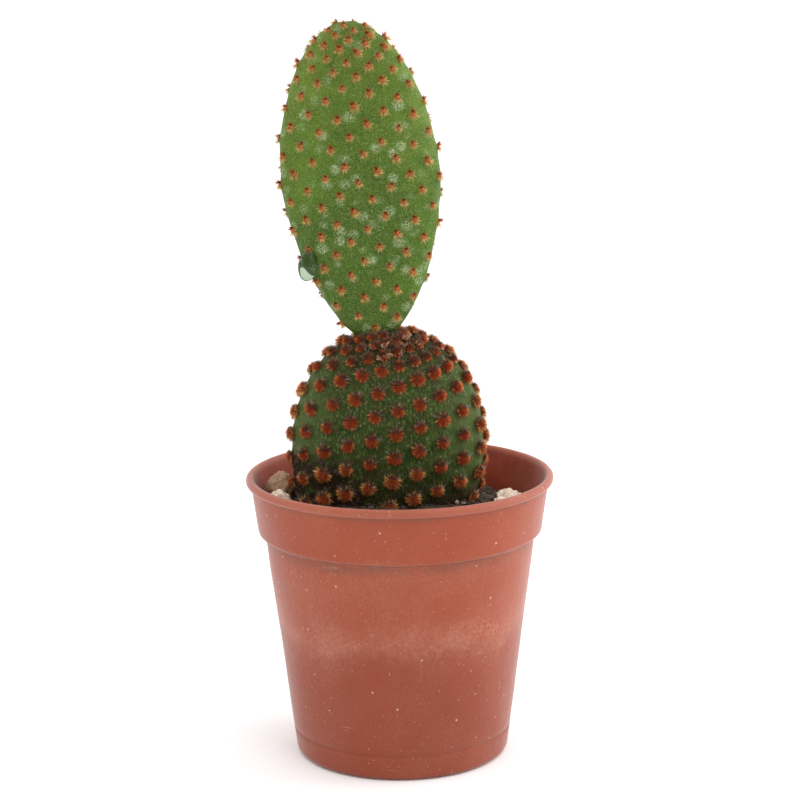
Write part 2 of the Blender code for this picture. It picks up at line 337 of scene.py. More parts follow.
class CactusSettings(bpy.types.PropertyGroup):
    pot: PointerProperty(type=PotSettings, name="Pot")
    soil: PointerProperty(type=SoilSettings, name="Soil")
    stones: PointerProperty(type=StoneSettings, name="Stones")
    base_pad: PointerProperty(type=BasePadSettings, name="Base Pad")
    upper_pad: PointerProperty(type=UpperPadSettings, name="Upper Pad")
    tufts: PointerProperty(type=TuftSettings, name="Tufts")
    extras: PointerProperty(type=ExtraSettings, name="Extras")
    stage: PointerProperty(type=StageSettings, name="Stage")


def scaled(shade, by):
    """A colour made darker or lighter."""
    return [min(1.0, by * part) for part in shade]


# --- Shader wiring ---
class Wiring:
    """Adds nodes to a node tree and joins them."""

    def __init__(self, tree):
        self.tree = tree

    def add(self, kind, inputs=None, out=0, **choices):
        node = self.tree.nodes.new(kind)
        for name, value in choices.items():
            setattr(node, name, value)
        for key, value in (inputs or {}).items():
            self.feed(node.inputs[key], value)
        return node.outputs[out]

    def feed(self, socket, value):
        if isinstance(value, bpy.types.NodeSocket):
            self.tree.links.new(value, socket)
        elif hasattr(value, "__len__") and socket.type == "RGBA":
            socket.default_value = (*tuple(value)[:3], 1.0)
        else:
            socket.default_value = value

    def math(self, operation, first, second=0.0, third=0.0):
        return self.add("ShaderNodeMath", {0: first, 1: second, 2: third}, operation=operation)

    def times(self, first, second):
        return self.math("MULTIPLY", first, second)

    def most(self, first, second):
        return self.math("MAXIMUM", first, second)

    def apart(self, first, second):
        """How far apart two values are."""
        return self.math("ABSOLUTE", self.math("SUBTRACT", first, second))

    def axes(self, vector):
        """The X, Y and Z of a vector."""
        node = self.tree.nodes.new("ShaderNodeSeparateXYZ")
        self.feed(node.inputs[0], vector)
        return tuple(node.outputs)

    def mix(self, factor, first, second):
        sockets = {0: factor, 6: first, 7: second}
        return self.add("ShaderNodeMix", sockets, 2, data_type="RGBA")

    def span(self, value, low, high, to_low=0.0, to_high=1.0):
        """Maps low..high smoothly to to_low..to_high, and clamps it."""
        ends = {"Value": value, "From Min": low, "From Max": high, "To Min": to_low, "To Max": to_high}
        return self.add("ShaderNodeMapRange", ends, interpolation_type="SMOOTHSTEP")

    def noise(self, vector, scale, detail=3.0, roughness=0.55):
        inputs = {"Vector": vector, "Scale": scale, "Detail": detail, "Roughness": roughness}
        return self.add("ShaderNodeTexNoise", inputs)

    def ramp(self, value, stops):
        node = self.tree.nodes.new("ShaderNodeValToRGB")
        elements = node.color_ramp.elements
        while len(elements) < len(stops):
            elements.new(1.0)
        for element, (place, shade) in zip(elements, stops):
            element.position = place
            element.color = (*shade, 1.0) if hasattr(shade, "__len__") else (shade, shade, shade, 1.0)
        self.feed(node.inputs["Fac"], value)
        return node.outputs["Color"]

    def place(self):
        return self.add("ShaderNodeTexCoord", out="Object")

    def stretched(self, vector, x, y, z):
        return self.add("ShaderNodeMapping", {"Vector": vector, "Scale": (x, y, z)})

    def attribute(self, name):
        return self.add("ShaderNodeAttribute", out="Fac", attribute_name=name)


def grouped(wiring, name, output_kind, fill, **given):
    """Puts in a shader node group, made once. fill(wiring, inputs) gives its output."""
    tree = bpy.data.node_groups.get(name)
    if not tree:
        tree = bpy.data.node_groups.new(name, "ShaderNodeTree")
        for label in given:
            kind = "NodeSocketVector" if label == "Vector" else "NodeSocketFloat"
            tree.interface.new_socket(name=label, in_out="INPUT", socket_type=kind)
        tree.interface.new_socket(name="Result", in_out="OUTPUT", socket_type=output_kind)
        source = tree.nodes.new("NodeGroupInput")
        end = tree.nodes.new("NodeGroupOutput")
        tree.links.new(fill(Wiring(tree), source.outputs), end.inputs[0])
    node = wiring.tree.nodes.new("ShaderNodeGroup")
    node.node_tree = tree
    for label, value in given.items():
        wiring.feed(node.inputs[label], value)
    return node.outputs[0]


def speck_mask(wiring, vector, size, portion):
    """Small scattered specks."""

    def fill(inner, given):
        scale = inner.math("DIVIDE", 1.0, given["Size"])
        cells = inner.tree.nodes.new("ShaderNodeTexVoronoi")
        inner.feed(cells.inputs["Vector"], given["Vector"])
        inner.feed(cells.inputs["Scale"], scale)
        spot = inner.span(cells.outputs["Distance"], 0.16, 0.34, 1.0, 0.0)
        parts = inner.tree.nodes.new("ShaderNodeSeparateColor")
        inner.feed(parts.inputs[0], cells.outputs["Color"])
        chosen = inner.math("LESS_THAN", parts.outputs[0], given["Portion"])
        strength = inner.span(parts.outputs[1], 0.0, 1.0, 0.35, 1.0)
        return inner.times(inner.times(spot, chosen), strength)

    return grouped(wiring, "Specks", "NodeSocketFloat", fill, Vector=vector, Size=size, Portion=portion)


def mottle_mask(wiring, vector, size, contrast, detail=4.0):
    """Soft uneven patches from 0 to 1."""

    def fill(inner, given):
        scale = inner.math("DIVIDE", 1.0, given["Size"])
        cloud = inner.noise(given["Vector"], scale, given["Detail"])
        centred = inner.math("SUBTRACT", cloud, 0.5)
        spread = inner.math("MULTIPLY_ADD", centred, given["Contrast"], 0.5)
        return inner.add("ShaderNodeClamp", {"Value": spread})

    given = {"Vector": vector, "Size": size, "Contrast": contrast, "Detail": detail}
    return grouped(wiring, "Mottle", "NodeSocketFloat", fill, **given)


def crackle_mask(wiring, vector, size, line):
    """Thin lines between small cells."""

    def fill(inner, given):
        scale = inner.math("DIVIDE", 1.0, given["Size"])
        bend = inner.add("ShaderNodeTexNoise", {"Vector": given["Vector"], "Scale": scale}, "Color")
        bent = inner.add(
            "ShaderNodeVectorMath",
            {0: bend, 1: (0.0006, 0.0006, 0.0006), 2: given["Vector"]},
            operation="MULTIPLY_ADD",
        )
        inputs = {"Vector": bent, "Scale": scale}
        edge = inner.add("ShaderNodeTexVoronoi", inputs, "Distance", feature="DISTANCE_TO_EDGE")
        return inner.span(edge, 0.0, given["Line"], 1.0, 0.0)

    return grouped(wiring, "Crackle", "NodeSocketFloat", fill, Vector=vector, Size=size, Line=line)


def grain_height(wiring, vector, fine, coarse):
    """Height for a bump: fine grain on coarse swells."""

    def fill(inner, given):
        small = inner.noise(given["Vector"], inner.math("DIVIDE", 1.0, given["Fine"]), 2.0)
        large = inner.noise(given["Vector"], inner.math("DIVIDE", 1.0, given["Coarse"]), 3.0)
        return inner.math("MULTIPLY_ADD", large, 1.6, small)

    return grouped(wiring, "Grain", "NodeSocketFloat", fill, Vector=vector, Fine=fine, Coarse=coarse)


class Finish:
    """A material: its Principled shader, its wiring and a place to read patterns from."""

    def __init__(self, name):
        self.material = bpy.data.materials.new(name)
        self.material.use_nodes = True
        self.wiring = Wiring(self.material.node_tree)
        self.shader = self.material.node_tree.nodes["Principled BSDF"]
        self.place = self.wiring.place()

    def set(self, **values):
        for name, value in values.items():
            self.wiring.feed(self.shader.inputs[name.replace("_", " ")], value)
        return self

    def bump(self, height, depth, strength=1.0):
        inputs = {"Height": height, "Distance": depth, "Strength": strength}
        self.set(Normal=self.wiring.add("ShaderNodeBump", inputs))
        return self


# --- Shared modelling helpers ---
def mesh_of(bm, name):
    mesh = bpy.data.meshes.new(name)
    bm.to_mesh(mesh)
    bm.free()
    return mesh


def place_in_scene(name, data):
    thing = bpy.data.objects.new(name, data)
    bpy.context.scene.collection.objects.link(thing)
    return thing


def settings():
    return bpy.context.scene.paddle_cactus


def show_piece(name, bm, material, stands_for=()):
    """Closes a bmesh into a finished piece that rides on the plant's one body."""
    mesh = mesh_of(bm, name)
    if not len(mesh.polygons):
        raise RuntimeError(f"{name} has no faces")
    mesh.shade_smooth()
    mesh.materials.append(material)
    piece = place_in_scene(name, mesh)
    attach(piece, "root")
    if stands_for:
        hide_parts(*stands_for)
    return piece


def arc(centre_r, centre_z, radius, start_deg, end_deg, steps):
    """Points (r, z) along an arc, from start to end."""
    points = []
    for step in range(steps + 1):
        turn = math.radians(start_deg + (end_deg - start_deg) * step / steps)
        points.append((centre_r + radius * math.cos(turn), centre_z + radius * math.sin(turn)))
    return points


def line(start, end, steps):
    """Points (r, z) between two others, without the first."""
    return [
        tuple(a + (b - a) * step / steps for a, b in zip(start, end)) for step in range(1, steps + 1)
    ]


def turned(profile, steps):
    """A body turned about Z from (r, z) points that start and end on the axis."""
    bm = bmesh.new()
    ring = [bm.verts.new((r, 0.0, z)) for r, z in profile]
    edges = [bm.edges.new(pair) for pair in zip(ring, ring[1:])]
    about = {"cent": (0, 0, 0), "axis": (0, 0, 1), "angle": math.tau}
    bmesh.ops.spin(bm, geom=ring + edges, steps=steps, use_merge=True, **about)
    bmesh.ops.remove_doubles(bm, verts=bm.verts, dist=1e-6)
    bmesh.ops.recalc_face_normals(bm, faces=bm.faces)
    return bm


def add_template(bm, template, matrix):
    """Adds one placed copy of a small mesh."""
    copy = template.copy()
    copy.transform(matrix)
    bm.from_mesh(copy)
    bpy.data.meshes.remove(copy)


def to_template(bm, name):
    bmesh.ops.recalc_face_normals(bm, faces=bm.faces)
    return mesh_of(bm, name)


def drop_templates(templates):
    for template in templates:
        bpy.data.meshes.remove(template)


# --- Stage ---
def add_soft_box(name, place, target, size, power):
    light = bpy.data.lights.new(name, "AREA")
    light.shape = "SQUARE"
    light.size = size
    light.energy = power
    box = place_in_scene(name, light)
    box.location = place
    box.rotation_euler = (Vector(target) - Vector(place)).to_track_quat("-Z", "Y").to_euler()


class CACTUS_OT_stage(bpy.types.Operator):
    """Sets the pale floor, the soft light and the camera"""

    bl_idname = "cactus.stage"
    bl_label = "Stage"

    def execute(self, context):
        s = settings().stage
        bm = bmesh.new()
        bmesh.ops.create_grid(bm, x_segments=2, y_segments=2, size=9.0)
        floor = place_in_scene("floor", mesh_of(bm, "floor"))
        paint = Finish("pale_floor").set(Base_Color=s.floor, Roughness=0.9)
        floor.data.materials.append(paint.material)
        context.scene.world = self.soft_room(s)
        middle = (CAD_BOX[0] + CAD_BOX[1]) / 2
        add_soft_box("key_soft_box", (0.55, -0.75, 0.85), middle, 0.7, s.key)
        add_soft_box("left_soft_box", (-0.85, -0.30, 0.45), middle, 0.7, s.fill)
        add_soft_box("right_soft_box", (0.85, 0.10, 0.40), middle, 0.7, s.side)
        self.add_camera(context, s)
        context.scene.view_settings.view_transform = "Standard"
        return {"FINISHED"}

    def soft_room(self, s):
        """A white room that is darker in front, where the camera stands."""
        world = bpy.data.worlds.new("soft_room")
        world.use_nodes = True
        w = Wiring(world.node_tree)
        way = w.add("ShaderNodeTexCoord", out="Generated")
        _, depth, height = w.axes(way)
        back = w.span(depth, -0.75, 0.35, s.front, s.sky)
        above = w.span(height, 0.25, 0.90, 0.0, 1.35 * s.sky)
        background = world.node_tree.nodes["Background"]
        w.feed(background.inputs["Color"], (1.0, 1.0, 1.0))
        w.feed(background.inputs["Strength"], w.most(back, above))
        return world

    def add_camera(self, context, s):
        target = Vector((s.aim_side, 0.0, s.aim_height))
        back = Vector((0.0, -math.cos(s.elevation), math.sin(s.elevation)))
        level_up = Vector((0.0, math.sin(s.elevation), math.cos(s.elevation)))
        right = math.cos(s.roll) * Vector((1, 0, 0)) + math.sin(s.roll) * level_up
        data = bpy.data.cameras.new("camera")
        data.lens = s.lens
        data.sensor_width = 36.0
        data.clip_start = 0.01
        camera = place_in_scene("camera", data)
        axes = Matrix((right, back.cross(right), back)).transposed()
        camera.matrix_world = Matrix.Translation(target + back * s.distance) @ axes.to_4x4()
        context.scene.camera = camera


# --- Pot ---
def body_radius(s, height):
    """Outer radius of the pot's tapering body."""
    up = (height - s.base_round) / (s.step_height - s.base_round)
    return s.body_foot + (s.body_top - s.body_foot) * up


def collar_radius(s, height):
    """Outer radius of the pot's collar."""
    low = s.step_height + s.collar_round
    return s.collar_foot + (s.collar_top - s.collar_foot) * (height - low) / (s.height - low)


def pot_profile(s):
    """The pot's outline, from under its base, over the rim and down to its inner floor."""
    floor = s.foot_recess + s.base_wall
    corner = s.body_foot - s.base_round
    ring = corner - s.foot_ring
    shoulder = s.collar_foot - s.collar_round
    bead_r, bead_z = s.rim_radius - s.bead_radius, s.height - s.bead_radius
    ledge = s.step_height + s.wall
    points = [(0.0, s.foot_recess)]
    points += line(points[-1], (ring - s.foot_recess, s.foot_recess), 10)
    points += line(points[-1], (ring, 0.0), 3)
    points += arc(corner, s.base_round, s.base_round, -90, 0, 8)
    groove = s.groove_height
    groove_r = body_radius(s, groove) - s.groove_depth
    fillet = 0.0006
    neck = s.step_height - fillet
    points += line(points[-1], (body_radius(s, groove), groove), 4)
    points += [(groove_r, groove + 0.0002), (groove_r, groove + 0.0005)]
    points += [(body_radius(s, groove + 0.0007), groove + 0.0007)]
    points += line(points[-1], (body_radius(s, neck), neck), 34)
    points += arc(body_radius(s, s.step_height) + fillet, neck, fillet, 180, 90, 4)
    points += arc(shoulder, s.step_height + s.collar_round, s.collar_round, -90, 0, 7)
    crease = bead_z - s.bead_radius - 0.0001
    points += line(points[-1], (collar_radius(s, crease), crease), 10)
    points += arc(bead_r, bead_z, s.bead_radius, -58, 128, 14)
    points += [(collar_radius(s, s.height) - s.wall, bead_z - 0.0002)]
    lip = (collar_radius(s, ledge + s.collar_round) - s.wall, ledge + s.collar_round)
    points += line(points[-1], lip, 10)
    points += arc(shoulder, ledge + s.collar_round, s.collar_foot - s.wall - shoulder, 0, -90, 4)[1:]
    points += [(body_radius(s, ledge) - s.wall, ledge)]
    inner_foot = (body_radius(s, floor) - 2 * s.wall, floor + s.wall)
    points += line(points[-1], inner_foot, 20)
    points += [(body_radius(s, floor) - 2.3 * s.wall, floor + 0.3 * s.wall)]
    points += [(body_radius(s, floor) - 3 * s.wall, floor)]
    points += line(points[-1], (0.0, floor), 8)
    return points


def carve(piece, cutter):
    """Cuts one mesh out of another for good."""
    modifier = piece.modifiers.new("carve", "BOOLEAN")
    modifier.operation = "DIFFERENCE"
    modifier.solver = "EXACT"
    modifier.object = cutter
    graph = bpy.context.evaluated_depsgraph_get()
    mesh = bpy.data.meshes.new_from_object(piece.evaluated_get(graph))
    piece.modifiers.clear()
    piece.data = mesh
    bpy.data.objects.remove(cutter)


def drain_cutter(s):
    bm = bmesh.new()
    for number in range(s.drain_count):
        turn = Matrix.Rotation(math.tau * number / s.drain_count, 4, "Z")
        bmesh.ops.create_cone(
            bm,
            cap_ends=True,
            segments=32,
            radius1=s.drain_radius,
            radius2=s.drain_radius,
            depth=6 * (s.foot_recess + s.base_wall),
            matrix=turn @ Matrix.Translation((s.drain_circle, 0.0, 0.0)),
        )
    return place_in_scene("drain_cutter", mesh_of(bm, "drain_cutter"))


def plastic_finish(s):
    look = Finish("terracotta_plastic")
    w = look.wiring
    across, _, height = w.axes(look.place)
    cloud = w.noise(w.stretched(look.place, 1, 1, 0.55), 85.0, 4.0)
    wavy = w.math("MULTIPLY_ADD", w.math("SUBTRACT", cloud, 0.5), 0.011, height)
    frayed = w.math("SUBTRACT", w.noise(w.stretched(look.place, 1, 1, 0.4), 900.0, 4.0, 0.7), 0.5)
    wavy = w.math("MULTIPLY_ADD", frayed, 0.007, wavy)
    level = w.math("DIVIDE", wavy, 0.06)
    stops = [(0.0, 0.07), (0.36, 0.05), (0.43, 0.10), (0.49, 0.24), (0.53, 0.19)]
    stops += [(0.62, 0.10), (0.76, 0.11), (0.80, 0.05), (1.0, 0.08)]
    band = w.ramp(level, stops)
    patchy = mottle_mask(w, look.place, 0.011, 2.0)
    smears = w.times(band, w.span(patchy, 0.0, 1.0, 0.5, 1.5))
    fine = mottle_mask(w, look.place, 0.0006, 3.5, 2.0)
    haze = w.times(smears, w.span(fine, 0.0, 1.0, 0.75, 1.35))
    right = w.span(across, 0.002, 0.020, 0.0, 1.0)
    tide = w.span(w.apart(wavy, 0.0315), 0.0004, 0.0042, 1.0, 0.0)
    smear = w.times(w.times(right, tide), w.span(fine, 0.2, 0.9, 0.05, 0.45))
    haze = w.most(haze, smear)
    shade = w.mix(mottle_mask(w, look.place, 0.018, 2.0), s.plastic, scaled(s.plastic, 0.86))
    # painted shade: the body is darkened below the haze band, as less light falls low on the pot
    lower_shade = w.span(wavy, 0.0320, 0.0255, 0.0, 0.30)
    shade = w.mix(lower_shade, shade, scaled(s.plastic, 0.4))
    bead = w.span(height, s.height - 2.2 * s.bead_radius, s.height - 1.6 * s.bead_radius, 0.0, 0.12)
    shade = w.mix(bead, shade, s.haze)
    shade = w.mix(haze, shade, s.haze)
    under_collar = s.step_height - 0.0009
    under_rim = s.height - 2 * s.bead_radius - 0.0004
    # painted shade in the creases under the collar and the rim, made patchy by a mottle
    near_collar = w.span(w.apart(height, under_collar), 0.0003, 0.0020, 1.0, 0.0)
    near_rim = w.span(w.apart(height, under_rim), 0.0001, 0.0007, 0.7, 0.0)
    crease_shade_mask = w.times(w.most(near_collar, near_rim), mottle_mask(w, look.place, 0.006, 3.0))
    shade = w.mix(w.times(crease_shade_mask, 0.65), shade, s.crease_shade)
    dust = speck_mask(w, look.place, 0.00050, 0.06)
    grit = speck_mask(w, look.place, 0.0010, 0.022)
    specks = w.most(w.times(dust, 0.55), w.times(grit, 0.8))
    shade = w.mix(w.times(specks, 0.8), shade, s.dust)
    scratch = w.noise(w.stretched(look.place, 1, 1, 14), 60.0, 5.0, 0.7)
    scratch = w.span(scratch, 0.66, 0.72, 0.0, 0.35)
    shade = w.mix(scratch, shade, s.haze)
    # painted shade: the inside wall gets its own shaded, more saturated copy of the plastic
    inner = w.mix(mottle_mask(w, look.place, 0.004, 2.0), s.plastic_inside, scaled(s.plastic_inside, 0.7))
    inner = w.mix(w.times(mottle_mask(w, look.place, 0.007, 3.0), 0.10), inner, s.haze)
    inner = w.mix(w.times(specks, 0.3), inner, s.dust)
    shade = w.mix(w.attribute("inner"), shade, inner)
    rough = w.math("MULTIPLY_ADD", haze, 0.30, 0.46)
    look.set(Base_Color=shade, Roughness=rough, Specular_IOR_Level=0.25)
    look.set(Sheen_Weight=0.34, Sheen_Roughness=0.32)
    grain = grain_height(w, look.place, 0.00022, 0.0016)
    look.bump(w.math("MULTIPLY_ADD", specks, 0.8, grain), 0.00004, 0.8)
    return look.material


class CACTUS_OT_pot(bpy.types.Operator):
    """Turns the plastic pot with its rolled rim, collar, foot ring and drains"""

    bl_idname = "cactus.pot"
    bl_label = "Pot"

    def execute(self, context):
        s = settings().pot
        bm = turned(pot_profile(s), 160)
        for vert in bm.verts:
            way = Vector((vert.co.x, vert.co.y, 0.0))
            if way.length < 0.6 * s.body_foot:
                continue
            sway = noise.noise(vert.co / 0.016) + 0.3 * noise.noise(vert.co / 0.005)
            vert.co += way.normalized() * sway * s.warp
        pot = show_piece("pot_shell", bm, plastic_finish(s), ["pot"])
        carve(pot, drain_cutter(s))
        inner = pot.data.attributes.new("inner", "FLOAT", "POINT")
        for vert, mark in zip(pot.data.vertices, inner.data):
            height = vert.co.z
            outer = collar_radius(s, height) if height > s.step_height else body_radius(s, height)
            radius = math.hypot(vert.co.x, vert.co.y)
            inside = radius < outer - 0.6 * s.wall and height > s.foot_recess + s.base_wall / 2
            mark.value = float(inside and height < s.height - 0.5 * s.bead_radius)
        pot.data.set_sharp_from_angle(angle=math.radians(50))
        return {"FINISHED"}


# --- Soil ---
def soil_height(s, x, y):
    """Height of the soil's surface before its grain, mounded towards the plant."""
    pot = settings().pot
    out = min(1.0, math.hypot(x, y) / (pot.collar_foot - pot.wall))
    lumps = noise.noise(Vector((x, y, 0.0)) / 0.0055) * 0.0008 - s.dip * min(1.0, max(0.0, -y / 0.009))
    return s.wall_height + s.mound * (1.0 - out * out) ** 0.7 - s.tilt * x + lumps * (1.0 - out)


def soil_finish(s):
    look = Finish("damp_compost")
    w = look.wiring
    shade = w.mix(mottle_mask(w, look.place, 0.0016, 3.0), s.compost, s.peat)
    shade = w.mix(w.times(speck_mask(w, look.place, 0.0006, 0.16), 0.7), shade, s.fibre)
    shade = w.mix(speck_mask(w, look.place, 0.0005, 0.03), shade, (0.34, 0.28, 0.22))
    look.set(Base_Color=shade, Roughness=w.span(mottle_mask(w, look.place, 0.003, 2.0), 0, 1, 0.75, 0.98))
    look.bump(grain_height(w, look.place, 0.00022, 0.0009), 0.0002)
    return look.material


def fibre_finish(s):
    look = Finish("peat_fibre")
    w = look.wiring
    shade = w.mix(mottle_mask(w, look.place, 0.0013, 4.0), s.fibre, s.compost)
    look.set(Base_Color=shade, Roughness=0.85)
    look.bump(grain_height(w, look.place, 0.00012, 0.0006), 0.00004)
    return look.material


def lump_template(rng, name, roughness):
    """One small crumb or grain, about 1 unit across."""
    bm = bmesh.new()
    bmesh.ops.create_icosphere(bm, subdivisions=2, radius=0.5)
    seed = Vector((rng.uniform(0, 90), rng.uniform(0, 90), 0))
    for vert in bm.verts:
        vert.co *= 1.0 + roughness * noise.noise(vert.co * 3.2 + seed)
    bmesh.ops.scale(bm, vec=(1.0, rng.uniform(0.6, 0.9), rng.uniform(0.5, 0.8)), verts=bm.verts)
    return to_template(bm, name)


def strand(bm, start, way, curl_axis, reach, curl, radius, steps):
    """One thin curved strand, as a three-sided tube along an arc."""
    track = way.to_track_quat("Z", "Y").to_matrix().to_4x4()
    made = bmesh.ops.create_circle(
        bm, segments=3, radius=radius, matrix=Matrix.Translation(start) @ track
    )
    ring = made["verts"]
    edges = list(dict.fromkeys(edge for vert in ring for edge in vert.link_edges))
    bend_radius = reach / curl
    side = way.cross(curl_axis).normalized()
    centre = start - side * bend_radius
    bmesh.ops.spin(bm, geom=ring + edges, cent=centre, axis=curl_axis, angle=curl, steps=steps)
    fresh = [vert for vert in bm.verts if not vert.tag]
    own = set(fresh)
    open_edges = [edge for edge in bm.edges if edge.is_boundary and edge.verts[0] in own]
    bmesh.ops.holes_fill(bm, edges=open_edges, sides=3)
    for vert in fresh:
        vert.tag = True
    return fresh


def ground_places(rng, s, count, reach=0.97):
    """Random places on the soil, clear of the plant."""
    pot, pad = settings().pot, settings().base_pad
    limit = (pot.collar_foot - pot.wall) * reach
    places = []
    while len(places) < count:
        x, y = rng.uniform(-limit, limit), rng.uniform(-limit, limit)
        if math.hypot(x, y) > limit:
            continue
        across, deep = (x - pad.centre_x) / (pad.width / 2), y / (pad.thickness / 2)
        if across * across + deep * deep < 0.72:
            continue
        places.append(Vector((x, y, soil_height(s, x, y))))
    return places


class CACTUS_OT_soil(bpy.types.Operator):
    """Fills the pot with compost, crumbs, peat fibres and pale grit"""

    bl_idname = "cactus.soil"
    bl_label = "Soil"

    def execute(self, context):
        s = settings().soil
        rng = random.Random(11)
        finish = soil_finish(s)
        self.add_bed(s, finish)
        self.add_crumbs(rng, s, finish)
        self.add_stuck_crumbs(rng, s, finish)
        self.add_fibres(rng, s)
        self.add_grit(rng, s)
        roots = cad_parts["roots"]
        roots.material_slots[0].material = self.root_finish(s)
        return {"FINISHED"}

    def add_bed(self, s, finish):
        pot = settings().pot
        low = pot.foot_recess + pot.base_wall + CLEAR
        gap = pot.wall + CLEAR + pot.warp
        ledge = pot.step_height + pot.wall + CLEAR
        edge = collar_radius(pot, s.wall_height) - gap
        profile = [(0.0, low), (body_radius(pot, low) - 2 * pot.wall - gap, low)]
        profile += [(body_radius(pot, low) - pot.wall - gap, low + pot.wall)]
        profile += [(body_radius(pot, ledge) - gap, ledge)]
        profile += [(pot.collar_foot - pot.collar_round - CLEAR, ledge)]
        profile += line((edge + 0.0002, 1.0), (0.0, 1.0), 84)
        bm = turned(profile, 224)
        for vert in bm.verts:
            if vert.co.z > 0.5:
                vert.co.z = soil_height(s, vert.co.x, vert.co.y)
                spot = Vector((vert.co.x, vert.co.y, 0.0))
                near = noise.voronoi(spot / s.grain)[0][0]
                lump = (0.5 - near) + 0.8 * noise.noise(spot / (2.7 * s.grain))
                vert.co.z += s.relief * lump
        show_piece("soil_bed", bm, finish, ["soil"])

    def add_crumbs(self, rng, s, finish):
        kinds = [lump_template(rng, "crumb", 0.55) for _ in range(8)]
        bm = bmesh.new()
        for place in ground_places(rng, s, s.crumb_count):
            size = 0.0005 + 0.0011 * rng.random() ** 2.5
            turn = Matrix.Rotation(rng.uniform(0, math.tau), 4, "Z")
            turn = turn @ Matrix.Rotation(rng.uniform(-1, 1), 4, "X")
            spot = Matrix.Translation(place + Vector((0, 0, size * rng.uniform(0.05, 0.3))))
            add_template(bm, rng.choice(kinds), spot @ turn @ Matrix.Scale(size, 4))
        drop_templates(kinds)
        show_piece("soil_crumbs", bm, finish)

    def add_stuck_crumbs(self, rng, s, finish):
        """Compost that clings to the foot of the base pad, most of it on the left."""
        form = PadForm(settings().base_pad)
        kinds = [lump_template(rng, "crumb", 0.7) for _ in range(6)]
        bm = bmesh.new()
        for _ in range(s.stuck_count):
            left = rng.random() < 0.7
            turn = form.turn_at(rng.uniform(0.47, 0.71) if left else rng.random())
            rise = 0.44 * rng.random() ** 1.5 if left else 0.12 * rng.random()
            spot = form.frame_at(turn, rise - 0.50)
            size = 0.0003 + 0.0010 * rng.random() ** 2
            twist = Matrix.Rotation(rng.uniform(0, math.tau), 4, "Z")
            add_template(bm, rng.choice(kinds), spot @ twist @ Matrix.Scale(size, 4))
        drop_templates(kinds)
        show_piece("stuck_crumbs", bm, finish)

    def add_fibres(self, rng, s):
        bm = bmesh.new()
        for place in ground_places(rng, s, s.fibre_count, 0.9):
            heading = rng.uniform(0, math.tau)
            way = Vector((math.cos(heading), math.sin(heading), rng.uniform(0.0, 0.5))).normalized()
            curl_axis = way.orthogonal().normalized()
            curl_axis.rotate(Matrix.Rotation(rng.uniform(0, math.tau), 3, way))
            start = place + Vector((0, 0, 0.0003))
            reach, curl = rng.uniform(0.0015, 0.0045), rng.uniform(0.4, 1.8)
            strand(bm, start, way, curl_axis, reach, curl, 0.00005, 5)
        bmesh.ops.recalc_face_normals(bm, faces=bm.faces)
        show_piece("peat_fibres", bm, fibre_finish(s))

    def add_grit(self, rng, s):
        kinds = [lump_template(rng, "grain", 0.35) for _ in range(6)]
        bm = bmesh.new()
        for place in ground_places(rng, s, s.grit_count, 0.94):
            size = rng.uniform(0.0004, 0.0011)
            turn = Matrix.Rotation(rng.uniform(0, math.tau), 4, "Z")
            spot = Matrix.Translation(place + Vector((0, 0, 0.3 * size)))
            add_template(bm, rng.choice(kinds), spot @ turn @ Matrix.Scale(size, 4))
        drop_templates(kinds)
        stones = settings().stones
        finish = pumice_finish("pale_grit", stones, scaled(stones.pale, 0.5), 0.0004)
        show_piece("pale_grit", bm, finish)

    def root_finish(self, s):
        look = Finish("root_skin")
        w = look.wiring
        fine = mottle_mask(w, w.stretched(look.place, 1, 1, 0.3), 0.0012, 3.0)
        look.set(Base_Color=w.mix(fine, s.root_skin, s.peat), Roughness=0.85)
        look.bump(grain_height(w, look.place, 0.0002, 0.001), 0.0001)
        return look.material


# --- Stones ---
def pumice_finish(name, s, body, size):
    look = Finish(name)
    w = look.wiring
    shade = w.mix(mottle_mask(w, look.place, 3 * size, 2.4), body, scaled(body, 0.72))
    shade = w.mix(mottle_mask(w, look.place, 1.1 * size, 3.5), shade, scaled(body, 1.3))
    pores = speck_mask(w, look.place, size, 0.45)
    # The pores are coloured darker.
    shade = w.mix(w.times(pores, 0.8), shade, s.pit)
    flecks = speck_mask(w, look.place, 0.7 * size, 0.07)
    shade = w.mix(w.times(flecks, 0.9), shade, (0.045, 0.035, 0.030))
    look.set(Base_Color=shade, Roughness=w.span(pores, 0, 1, 0.86, 0.97))
    grain = grain_height(w, look.place, 0.4 * size, 2.5 * size)
    look.bump(w.math("MULTIPLY_ADD", pores, -1.5, grain), 0.00012)
    return look.material


